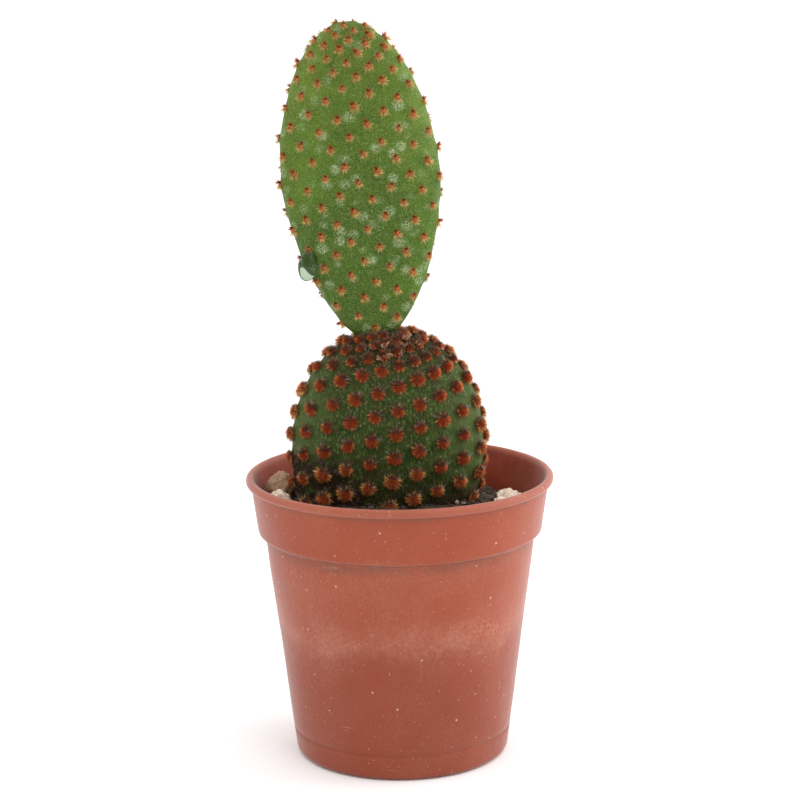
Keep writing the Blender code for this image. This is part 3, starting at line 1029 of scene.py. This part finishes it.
class CACTUS_OT_stones(bpy.types.Operator):
    """Roughens each loose pumice stone on the soil"""

    bl_idname = "cactus.stones"
    bl_label = "Stones"

    def execute(self, context):
        s = settings().stones
        tan = pumice_finish("tan_pumice", s, s.tan, 0.0007)
        pale = pumice_finish("pale_pumice", s, s.pale, 0.0008)
        names = sorted(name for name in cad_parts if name.startswith("pumice"))
        for seed, name in enumerate(names):
            soiled = name in ("pumice_left", "pumice_front", "pumice_back_right")
            self.add_stone(name, seed, tan if soiled else pale, s)
        return {"FINISHED"}

    def add_stone(self, name, seed, finish, s):
        bm = bmesh.new()
        bm.from_mesh(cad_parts[name].data)
        bmesh.ops.remove_doubles(bm, verts=bm.verts, dist=1e-6)
        cuts = 4 if name in ("pumice_left", "pumice_right") else 3
        bmesh.ops.subdivide_edges(bm, edges=bm.edges, cuts=cuts, use_grid_fill=True, smooth=0.4)
        low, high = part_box(name)
        size = (high - low).length / 1.8
        shift = Vector((seed * 5.1, 0, 0))
        for vert in bm.verts:
            spot = vert.co / size
            craggy = 1.0 - abs(noise.noise(spot * 3.1 + shift)) * 2.0
            craggy += 0.5 * (1.0 - abs(noise.noise(spot * 7.3 + shift)) * 2.0)
            near = noise.voronoi(spot * 9.0 + shift)[0][0]
            pit = max(0.0, 1.0 - near / 0.35) ** 2
            push = s.bumps * (craggy - 0.9) * 0.5 - s.pits * pit
            vert.co += vert.normal * size * push
        bmesh.ops.recalc_face_normals(bm, faces=bm.faces)
        show_piece(name + "_rough", bm, finish, [name])


# --- Pads ---
class PadForm:
    """The smooth form of one pad: where its skin lies at a turn round it and a height along it."""

    TABLE = 720

    def __init__(self, s):
        self.s = s
        lean = Matrix.Rotation(s.lean, 4, "Y")
        self.place = Matrix.Translation((s.centre_x, 0.0, s.centre_z)) @ lean
        reach = [0.0]
        for step in range(self.TABLE):
            a, b = (math.tau * (step + shift) / self.TABLE for shift in (0, 1))
            across = s.width * (math.cos(b) - math.cos(a))
            deep = s.thickness * (math.sin(b) - math.sin(a))
            reach.append(reach[-1] + math.hypot(across, deep))
        self.reach = [each / reach[-1] for each in reach]
        self.girth = reach[-1] / 2

    def turn_at(self, part):
        """Angle round the pad that holds a part of its girth, from the right edge."""
        part %= 1.0
        low, high = 0, self.TABLE
        while high - low > 1:
            middle = (low + high) // 2
            if self.reach[middle] <= part:
                low = middle
            else:
                high = middle
        more = (part - self.reach[low]) / (self.reach[high] - self.reach[low])
        return math.tau * (low + more) / self.TABLE

    def width_at(self, height):
        """Share of the pad's width at a height from -1, the foot, to 1, the tip."""
        n = self.s.bluntness
        full = max(0.0, 1.0 - abs(height) ** n) ** (1.0 / n)
        return full * (1.0 - self.s.foot_taper * max(0.0, -height))

    def along(self, height):
        return height * (self.s.above if height > 0 else self.s.below)

    def local(self, turn, height):
        wide = self.width_at(height)
        across = math.cos(turn) * wide * self.s.width / 2
        deep = math.sin(turn) * wide * self.s.thickness / 2
        return Vector((across, deep, self.along(height)))

    def frame_at(self, turn, height):
        """Place on the skin, with +Z out of the skin and +Y up the pad."""
        step = 0.004
        up = self.local(turn, min(height + step, 0.9999)) - self.local(turn, max(height - step, -0.9999))
        right = self.local(turn + step, height) - self.local(turn - step, height)
        out = right.cross(up).normalized()
        up = (up - out * up.dot(out)).normalized()
        axes = Matrix((up.cross(out), up, out)).transposed().to_4x4()
        return self.place @ Matrix.Translation(self.local(turn, height)) @ axes

    def levels(self):
        """Heights of the areole levels, which get closer together up the pad."""
        s = self.s
        steps = 600
        found = []
        filled = 1.0 - s.areole_offset
        area_each = s.areole_area * MM * MM * s.areole_pairs
        for step in range(steps):
            low, high = (math.sin(math.pi * ((step + shift) / steps - 0.5)) for shift in (0, 1))
            middle = (low + high) / 2
            rise = self.along(high) - self.along(low)
            drop = self.width_at(high) - self.width_at(low)
            slope = math.hypot(rise, drop * (0.35 * s.thickness + 0.15 * s.width))
            area = self.girth * self.width_at(middle) * slope
            crown = max(0.0, middle - s.crown_from) / (1.0 - s.crown_from)
            area *= 1.0 + s.crowding * crown * crown
            filled += area / (area_each * (1.0 - s.areole_trend * middle))
            while filled >= 1.0:
                filled -= 1.0
                found.append(middle)
        return found

    def areoles(self):
        """(turn, height) of every areole, in rising order."""
        s = self.s
        found = []
        for number, height in enumerate(self.levels()):
            for twin in range(s.areole_pairs):
                part = s.areole_start + number * s.areole_turn + twin / s.areole_pairs
                found.append((self.turn_at(part), height))
        return found

    def holds(self, point, margin=0.0):
        """Whether a point lies inside the pad, or within a margin outside it."""
        at = self.place.inverted() @ point
        height = at.z / ((self.s.above if at.z > 0 else self.s.below) + margin)
        if abs(height) >= 1.0:
            return False
        wide = self.width_at(height)
        across = at.x / (wide * self.s.width / 2 + margin)
        deep = at.y / (wide * self.s.thickness / 2 + margin)
        return across * across + deep * deep < 1.0


def pad_mesh(form, spots, sides, rings, seed):
    """A pad's skin with a swelling under each areole, and how near each point is to one."""
    s = form.s
    bm = bmesh.new()
    bmesh.ops.create_uvsphere(bm, u_segments=sides, v_segments=rings, radius=1.0)
    near = bm.verts.layers.float.new("areole")
    tree = kdtree.KDTree(len(spots))
    for number, spot in enumerate(spots):
        tree.insert(spot.translation, number)
    tree.balance()
    power = 2.0 / s.bluntness
    shift = Vector((seed, 0, 0))
    for vert in bm.verts:
        turn = math.atan2(vert.co.y, vert.co.x)
        height = math.copysign(abs(vert.co.z) ** power, vert.co.z)
        height = max(-1.0, min(1.0, height))
        vert.co = form.place @ form.local(turn, height)
    bm.normal_update()
    for vert in bm.verts:
        rest = vert.co.copy()
        sway = noise.noise(rest / 0.009 + shift) + 0.35 * noise.noise(rest / 0.0030 + shift)
        push = s.warp * sway
        _, _, far = tree.find(rest)
        swell = math.exp(-((far / s.tubercle_radius) ** 2) * 1.6)
        vert[near] = max(0.0, 1.0 - far / AREOLE_REACH)
        vert.co = rest + vert.normal * (push + s.tubercle * swell)
    return bm


def upper_skin_finish(s):
    look = Finish("young_pad_skin")
    w = look.wiring
    across, _, height = w.axes(look.place)
    patches = mottle_mask(w, look.place, 0.0075, 2.6)
    shade = w.mix(patches, s.skin, s.shade)
    old = w.span(height, s.centre_z - 0.6 * s.below, s.centre_z + s.above, 0.0, 1.0)
    old = w.times(old, mottle_mask(w, look.place, 0.004, 1.5))
    shade = w.mix(old, shade, s.young)
    ring_a = speck_mask(w, look.place, 0.0042, 1.0)
    ring_b = speck_mask(w, w.stretched(look.place, 1.0, 1.6, 1.2), 0.0052, 1.0)
    small = mottle_mask(w, look.place, 0.00030, 4.5, 2.0)
    # painted shade: the skin is darker down the middle of the pad and lighter towards its left and right
    # edges, for how the light falls
    shade = w.mix(w.span(w.apart(across, s.centre_x), 0.004, 0.012, 0.45, 0.0), shade, s.shade)
    shade = w.mix(w.times(small, 0.42), shade, s.young)
    pores = speck_mask(w, look.place, 0.00050, 0.5)
    shade = w.mix(w.times(pores, 0.60), shade, scaled(s.shade, 0.35))
    blotch = w.most(ring_a, ring_b)
    lines = crackle_mask(w, look.place, 0.00055, 0.13)
    dots = speck_mask(w, look.place, 0.00045, 0.42)
    pale = w.times(blotch, w.most(lines, dots))
    loose = w.times(speck_mask(w, w.stretched(look.place, 1.1, 1.1, 1.1), 0.00042, 0.45), 0.55)
    pale = w.most(w.times(pale, 0.95), loose)
    veil = w.times(blotch, 0.06)
    shade = w.mix(w.most(pale, veil), shade, s.fleck)
    nearness = w.attribute("areole")
    shade = w.mix(w.span(nearness, 0.45, 0.9, 0.0, 0.75), shade, s.halo)
    look.set(Base_Color=shade, Roughness=w.math("MULTIPLY_ADD", pale, 0.25, 0.47))
    look.set(Specular_IOR_Level=0.2)
    look.set(Subsurface_Weight=0.06, Subsurface_Radius=(0.4, 1.0, 0.2), Subsurface_Scale=0.0012)
    look.bump(grain_height(w, look.place, 0.00026, 0.00156), 0.00010)
    return look.material


def base_skin_finish(s):
    look = Finish("mature_pad_skin")
    w = look.wiring
    across, _, height = w.axes(look.place)
    patches = mottle_mask(w, look.place, 0.0050, 2.8)
    shade = w.mix(patches, s.skin, s.shade)
    streaks = w.noise(w.stretched(look.place, 1, 1, 0.35), 2600.0, 3.0, 0.7)
    shade = w.mix(w.span(streaks, 0.50, 0.66, 0.0, 0.90), shade, s.fleck)
    shade = w.mix(w.span(streaks, 0.47, 0.34, 0.0, 0.80), shade, s.shade)
    russet = w.span(w.noise(look.place, 1100.0, 4.0, 0.7), 0.48, 0.60, 0.0, 0.75)
    shade = w.mix(russet, shade, s.russet)
    fuzz = w.times(speck_mask(w, look.place, 0.0006, 0.22), 0.7)
    shade = w.mix(fuzz, shade, (0.30, 0.31, 0.18))
    # painted light: the skin turns paler towards the left and right edges, for the light that rims them
    side = w.span(w.apart(across, s.centre_x), 0.009, 0.0185, 0.0, 0.35)
    shade = w.mix(side, shade, s.fleck)
    left = w.span(across, 0.001, -0.013, 0.0, 1.0)
    low = w.span(height, 0.0670, 0.0610, 0.0, 1.0)
    cloud = mottle_mask(w, look.place, 0.0045, 3.2)
    near_soil = w.span(height, 0.0610, 0.0565, 0.0, 1.0)
    corky = w.times(w.times(left, low), w.span(cloud, 0.05, 0.45))
    corky = w.most(corky, w.times(near_soil, w.span(cloud, 0.0, 0.8, 0.3, 1.0)))
    crown = w.span(height, s.centre_z + 0.80 * s.above, s.centre_z + s.above, 0.0, 0.85)
    corky = w.most(corky, crown)
    rind = w.mix(mottle_mask(w, look.place, 0.0010, 4.0), s.cork, scaled(s.cork, 0.45))
    shade = w.mix(w.times(corky, 0.9), shade, rind)
    # Brown halo round each areole, widened and darkened into a painted shadow of its tuft
    shade = w.mix(w.span(w.attribute("areole"), 0.08, 0.60, 0.0, 0.85), shade, s.halo)
    look.set(Base_Color=shade, Roughness=w.math("MULTIPLY_ADD", corky, 0.25, 0.60))
    look.set(Specular_IOR_Level=0.12)
    look.bump(w.math("MULTIPLY_ADD", streaks, 1.5, grain_height(w, look.place, 0.0003, 0.0018)), 0.00016)
    return look.material


def visible_areoles(form, other=None):
    """Frames of the areoles that are above the soil and outside the other pad."""
    soil = settings().soil
    frames = []
    for turn, height in form.areoles():
        spot = form.frame_at(turn, height)
        point = spot.translation
        if point.z < soil_height(soil, point.x, point.y) - 0.0005:
            continue
        if other is not None and other.holds(point, 0.0008):
            continue
        frames.append(spot)
    return frames


class CACTUS_OT_base_pad(bpy.types.Operator):
    """Shapes the squat base pad with its tubercles"""

    bl_idname = "cactus.base_pad"
    bl_label = "Base Pad"

    def execute(self, context):
        form = PadForm(settings().base_pad)
        bm = pad_mesh(form, visible_areoles(form), 200, 130, 3.1)
        show_piece("base_pad_flesh", bm, base_skin_finish(form.s), ["base_pad"])
        return {"FINISHED"}


class CACTUS_OT_upper_pad(bpy.types.Operator):
    """Shapes the tall upper pad with its tubercles"""

    bl_idname = "cactus.upper_pad"
    bl_label = "Upper Pad"

    def execute(self, context):
        form = PadForm(settings().upper_pad)
        bm = pad_mesh(form, visible_areoles(form), 176, 180, 8.7)
        show_piece("upper_pad_flesh", bm, upper_skin_finish(form.s), ["upper_pad"])
        return {"FINISHED"}


# --- Tufts ---
# Strips of the bristles' UV map: the middle of each colour along v.
RUST, AMBER, CREAM, DARK, HAIR = 0.1, 0.3, 0.5, 0.7, 0.9


def bristle_finish(name, s):
    """Stiff glossy bristles: one colour from root to tip for each strip of their map."""
    look = Finish(name)
    w = look.wiring
    spot = w.add("ShaderNodeUVMap", uv_map=STRAND_MAP)

    def fill(inner, given):
        root = [s.rust_root, s.amber_root, s.cream_root, s.dark_root, s.hair]
        tip = [s.rust_tip, s.amber_tip, s.cream_tip, s.dark_tip, s.hair]
        middles = [RUST, AMBER, CREAM, DARK, HAIR]
        along, strip, _ = inner.axes(given["Vector"])
        low = inner.ramp(strip, list(zip(middles, root)))
        high = inner.ramp(strip, list(zip(middles, tip)))
        return inner.mix(inner.span(along, 0.05, 0.95), low, high)

    shade = grouped(w, "Bristle Colour", "NodeSocketColor", fill, Vector=spot)
    look.set(Base_Color=shade, Roughness=0.55, Specular_IOR_Level=0.2)
    return look.material


def paint_strand(verts, layer, strip, along):
    """Lays the faces of one strand on its strip, by each point's share of the length."""
    for number, vert in enumerate(verts):
        side = 0.006 * (number % 3)
        reached = min(1.0, max(0.0, along(vert.co)) * 0.98 + side)
        for loop in vert.link_loops:
            loop[layer].uv = (reached, strip + side - 0.006)


def add_bristle(bm, layer, root, way, reach, thickness, strip):
    """One stiff bristle: a three-sided spike."""
    track = way.to_track_quat("Z", "Y").to_matrix().to_4x4()
    made = bmesh.ops.create_cone(
        bm,
        cap_ends=True,
        segments=3,
        radius1=thickness,
        radius2=0.0,
        depth=reach,
        matrix=Matrix.Translation(root + way * reach / 2) @ track,
    )
    paint_strand(made["verts"], layer, strip, lambda point: (point - root).dot(way) / reach)


def add_wool(bm, layer, radius, height, strip):
    """The low felt cushion that the bristles stand in."""
    made = bmesh.ops.create_uvsphere(bm, u_segments=7, v_segments=5, radius=1.0)
    bmesh.ops.scale(bm, vec=(radius, radius, height), verts=made["verts"])
    for vert in made["verts"]:
        for loop in vert.link_loops:
            loop[layer].uv = (0.3 + 0.15 * vert.co.x / radius, strip + 0.05 * vert.co.y / radius)


def direction(tilt, turn):
    return Vector((math.sin(tilt) * math.cos(turn), math.sin(tilt) * math.sin(turn), math.cos(tilt)))


def base_tuft(rng, s, loose, dark):
    """A round brush of rust-red bristles. loose widens its tan fringe, dark its dark upper edge."""
    bm = bmesh.new()
    layer = bm.loops.layers.uv.new(STRAND_MAP)
    add_wool(bm, layer, s.base_areole, s.base_areole * 0.8, RUST)
    golden = math.pi * (3.0 - math.sqrt(5.0))
    for number in range(s.base_count):
        part = (number + 0.5) / s.base_count
        tilt = math.acos(1.0 - part * 0.94) + rng.gauss(0, 0.06)
        turn = number * golden + rng.gauss(0, 0.12)
        way = direction(tilt, turn)
        root = Vector((way.x, way.y, 0.75 * way.z)) * s.base_areole * 0.8
        reach = s.base_length * rng.uniform(0.78, 1.10)
        strip = RUST + rng.uniform(-0.05, 0.09) + 0.05 * loose
        if way.y > 0.25 + 0.30 * loose - dark and rng.random() < 0.85:
            strip = DARK + rng.uniform(-0.04, 0.02)
        elif rng.random() < (part - 0.50 + 0.25 * loose) * (1.2 + 0.6 * loose):
            strip = AMBER + rng.uniform(-0.06, 0.17)
            reach *= rng.uniform(1.0, 1.2 + 0.25 * loose)
        add_bristle(bm, layer, root, way, reach, s.base_thickness, strip)
    for vert in bm.verts:
        vert.tag = True
    for number in range(s.hair_count):
        turn = math.radians(90) + rng.uniform(-1.1, 1.1)
        way = direction(rng.uniform(0.7, 1.1), turn)
        curl_axis = Vector((0, 0, 1)).cross(way).normalized()
        curl_axis.rotate(Matrix.Rotation(rng.uniform(-0.7, 0.7), 3, way))
        root = way * s.base_areole
        reach = s.hair_length * rng.uniform(0.7, 1.2)
        made = strand(bm, root, way, curl_axis, reach, rng.uniform(0.8, 2.0), 0.000022, 4)
        paint_strand(made, layer, HAIR, lambda point: (point - root).length / s.hair_length * 0.8)
    return to_template(bm, "base_tuft")


def upper_tuft(rng, s):
    """A small brush: dark bristles at its top, and a pale skirt that fans down."""
    bm = bmesh.new()
    layer = bm.loops.layers.uv.new(STRAND_MAP)
    add_wool(bm, layer, s.upper_areole, s.upper_areole * 0.6, AMBER)
    lift = Vector((0.0, 0.75 * s.upper_areole, 0.0))
    for number in range(s.core_count):
        way = direction(abs(rng.gauss(0, 0.33)), rng.uniform(0, math.tau)) + Vector((0, 0.15, 0))
        way.normalize()
        root = lift + Vector((way.x, way.y, 0.0)) * s.upper_areole * 0.9
        strip = RUST + rng.uniform(-0.04, 0.13)
        if way.y > 0.2 and rng.random() < 0.15:
            strip = DARK
        add_bristle(bm, layer, root, way, s.core_length * rng.uniform(0.7, 1.1), s.upper_thickness, strip)
    for number in range(s.skirt_count):
        turn = math.radians(-90) + rng.gauss(0, 1.15)
        below = 0.5 - 0.5 * math.sin(turn)
        way = direction(rng.uniform(0.6, 1.4), turn)
        root = Vector((way.x, way.y, 0.0)) * s.upper_areole * rng.uniform(0.2, 1.0)
        strip = AMBER + 0.25 * below * rng.uniform(0.6, 1.0)
        reach = s.skirt_length * rng.uniform(0.7, 1.1) * (0.6 + 0.4 * below)
        add_bristle(bm, layer, root, way, reach, 0.8 * s.upper_thickness, strip)
    return to_template(bm, "upper_tuft")


def plant_tufts(bm, frames, kinds, rng, size_at):
    for spot in frames:
        size = size_at(spot.translation) * rng.uniform(0.88, 1.12)
        turn = Matrix.Rotation(rng.gauss(0, 0.22), 4, "Z")
        nod = Matrix.Rotation(rng.gauss(0, 0.10), 4, "X")
        add_template(bm, rng.choice(kinds), spot @ turn @ nod @ Matrix.Scale(size, 4))
    drop_templates(kinds)


class CACTUS_OT_tufts(bpy.types.Operator):
    """Sets a tuft of bristles on every areole of both pads that is above the soil and clear of the other
    pad
    """

    bl_idname = "cactus.tufts"
    bl_label = "Tufts"

    def execute(self, context):
        s = settings().tufts
        rng = random.Random(29)
        base, upper = PadForm(settings().base_pad), PadForm(settings().upper_pad)
        finish = bristle_finish("glochid_bristles", s)
        self.add_base_tufts(rng, s, base, upper, finish)
        self.add_upper_tufts(rng, s, base, upper, finish)
        return {"FINISHED"}

    def add_base_tufts(self, rng, s, base, upper, finish):
        frames = [self.outward(spot, base.s, 0.7) for spot in visible_areoles(base, upper)]
        crown = base.s.centre_z + 0.75 * base.s.above
        foot = base.s.centre_z - 0.1 * base.s.below
        # painted light: tufts facing sideways, away or low get wide amber fringes for the light that
        # shines through their bristles
        backlit_tufts, middle, top = [], [], []
        for spot in frames:
            out = spot.col[2]
            if abs(out.x) > 0.82 or out.y > 0.0 or spot.translation.z < foot:
                backlit_tufts.append(spot)
            elif spot.translation.z < crown:
                middle.append(spot)
            else:
                top.append(spot)
        bm = bmesh.new()
        lots = ((backlit_tufts, 1.0, 0.0, 1.06), (middle, 0.0, 0.0, 1.0), (top, 0.0, 0.75, 0.9))
        for spots, loose, dark, size in lots:
            kinds = [base_tuft(rng, s, loose, dark) for _ in range(s.kinds)]
            plant_tufts(bm, spots, kinds, rng, lambda at: size)
        show_piece("base_tufts", bm, finish)

    def add_upper_tufts(self, rng, s, base, upper, finish):
        frames = [self.outward(spot, upper.s, 0.8) for spot in visible_areoles(upper, base)]
        tip = upper.s.centre_z + 0.93 * upper.s.above
        bm = bmesh.new()
        kinds = [upper_tuft(rng, s) for _ in range(s.kinds)]
        plant_tufts(bm, frames, kinds, rng, lambda at: 0.8 if at.z > tip else 1.0)
        show_piece("upper_tufts", bm, finish)

    def outward(self, spot, pad, part):
        """Lifts an areole's frame onto its tubercle."""
        return spot @ Matrix.Translation((0.0, 0.0, pad.tubercle * part))


# --- Drop and scraps ---
class CACTUS_OT_extras(bpy.types.Operator):
    """Hangs a drop of water on the upper pad and lays dried scraps at the joint"""

    bl_idname = "cactus.extras"
    bl_label = "Drop and Scraps"

    def execute(self, context):
        s = settings().extras
        self.add_drop(s)
        self.add_scraps(s)
        return {"FINISHED"}

    def add_drop(self, s):
        upper = PadForm(settings().upper_pad)
        height = (s.drop_height_at - upper.s.centre_z) / upper.s.below
        edge = upper.place @ upper.local(math.radians(196), height)
        bm = bmesh.new()
        bmesh.ops.create_uvsphere(bm, u_segments=48, v_segments=32, radius=0.5)
        for vert in bm.verts:
            pinch = 1.0 - 0.42 * max(0.0, vert.co.z) * 2.0 * 0.8
            vert.co.x *= pinch
            vert.co.y *= pinch
        bmesh.ops.scale(bm, vec=(s.drop_width, 0.8 * s.drop_width, s.drop_height), verts=bm.verts)
        spot = Matrix.Translation(edge + Vector((0.0006, -0.0014, -0.0009)))
        bmesh.ops.transform(bm, matrix=spot @ Matrix.Rotation(0.18, 4, "Y"), verts=bm.verts)
        look = Finish("water").set(Base_Color=(0.42, 0.52, 0.38), Roughness=0.03, IOR=1.333)
        look.set(Transmission_Weight=1.0)
        look.bump(look.wiring.noise(look.place, 900.0, 1.0), 0.00002)
        show_piece("water_drop", bm, look.material)

    def add_scraps(self, s):
        look = Finish("dried_skin")
        w = look.wiring
        shade = w.mix(mottle_mask(w, look.place, 0.0014, 3.5), s.scrap, s.scrap_dark)
        shade = w.mix(speck_mask(w, look.place, 0.0004, 0.12), shade, (0.78, 0.66, 0.54))
        look.set(Base_Color=shade, Roughness=0.8)
        look.bump(grain_height(w, look.place, 0.00015, 0.0008), 0.00006)
        base = PadForm(settings().base_pad)
        rng = random.Random(5)
        bm = bmesh.new()
        lay = [(-96, 0.90, 2.3, 1.0, 0.9), (-63, 0.95, 2.4, 1.3, 0.2), (-92, 0.82, 2.1, 0.9, 0.3)]
        lay += [(-100, 0.80, 1.4, 0.8, -0.6), (-80, 0.84, 1.3, 0.7, 1.4), (-74, 0.90, 1.6, 0.6, -0.3)]
        lay += [(-55, 0.90, 1.2, 0.8, 2.0), (-110, 0.87, 1.5, 0.7, 0.1), (70, 0.88, 2.2, 0.9, 0.6)]
        for turn, height, long, wide, heading in lay:
            spot = base.frame_at(math.radians(turn), height)
            self.add_scrap(bm, rng, spot, long * MM, wide * MM, heading, s.scrap_thickness)
        show_piece("dried_scraps", bm, look.material)

    def add_scrap(self, bm, rng, spot, long, wide, heading, thickness):
        """One curled shred of dried skin lying on the crown."""
        part = bmesh.new()
        bmesh.ops.create_grid(part, x_segments=18, y_segments=6, size=0.5)
        seed = Vector((rng.uniform(0, 50), 0, 0))
        for vert in part.verts:
            x, y = vert.co.x, vert.co.y
            ragged = (1.0 - 3.2 * x * x) * (1.0 + 0.9 * noise.noise(Vector((x * 7, y * 3, 0)) + seed))
            bend = noise.noise(Vector((x * 3, y * 1.5, 0)) + seed) * 0.0009
            bend += noise.noise(Vector((x * 9, y * 5, 3)) + seed) * 0.0003
            curl = (abs(y) * 2) ** 2 * 0.0004
            sway = 0.25 * wide * noise.noise(Vector((x * 4, 9, 0)) + seed)
            vert.co = Vector((x * long, y * wide * ragged + sway, 0.0011 + bend + curl))
        bmesh.ops.solidify(part, geom=part.faces[:], thickness=thickness)
        bmesh.ops.recalc_face_normals(part, faces=part.faces)
        bmesh.ops.transform(part, matrix=spot @ Matrix.Rotation(heading, 4, "Z"), verts=part.verts)
        scrap = mesh_of(part, "scrap")
        bm.from_mesh(scrap)
        bpy.data.meshes.remove(scrap)


# --- Add-on ---
BUILD_STEPS = (
    CACTUS_OT_stage,
    CACTUS_OT_pot,
    CACTUS_OT_soil,
    CACTUS_OT_stones,
    CACTUS_OT_base_pad,
    CACTUS_OT_upper_pad,
    CACTUS_OT_tufts,
    CACTUS_OT_extras,
)


class CACTUS_PT_build(bpy.types.Panel):
    bl_idname = "CACTUS_PT_build"
    bl_label = "Potted Paddle Cactus"
    bl_space_type = "VIEW_3D"
    bl_region_type = "UI"
    bl_category = "Cactus"

    def draw(self, context):
        for step in BUILD_STEPS:
            self.layout.operator(step.bl_idname)
        for group in settings().bl_rna.properties:
            if group.type != "POINTER" or group.identifier == "rna_type":
                continue
            box = self.layout.box()
            box.label(text=group.name)
            values = getattr(settings(), group.identifier)
            for each in values.bl_rna.properties:
                if each.identifier not in ("rna_type", "name"):
                    box.prop(values, each.identifier)


CLASSES = (
    PotSettings,
    SoilSettings,
    StoneSettings,
    BasePadSettings,
    UpperPadSettings,
    TuftSettings,
    ExtraSettings,
    StageSettings,
    CactusSettings,
    *BUILD_STEPS,
    CACTUS_PT_build,
)


def register():
    for each in CLASSES:
        bpy.utils.register_class(each)
    bpy.types.Scene.paddle_cactus = PointerProperty(type=CactusSettings)


def unregister():
    del bpy.types.Scene.paddle_cactus
    for each in reversed(CLASSES):
        bpy.utils.unregister_class(each)


def main():
    register()
    for step in BUILD_STEPS:
        group, name = step.bl_idname.split(".")
        getattr(getattr(bpy.ops, group), name)()


if __name__ == "__main__":
    main()
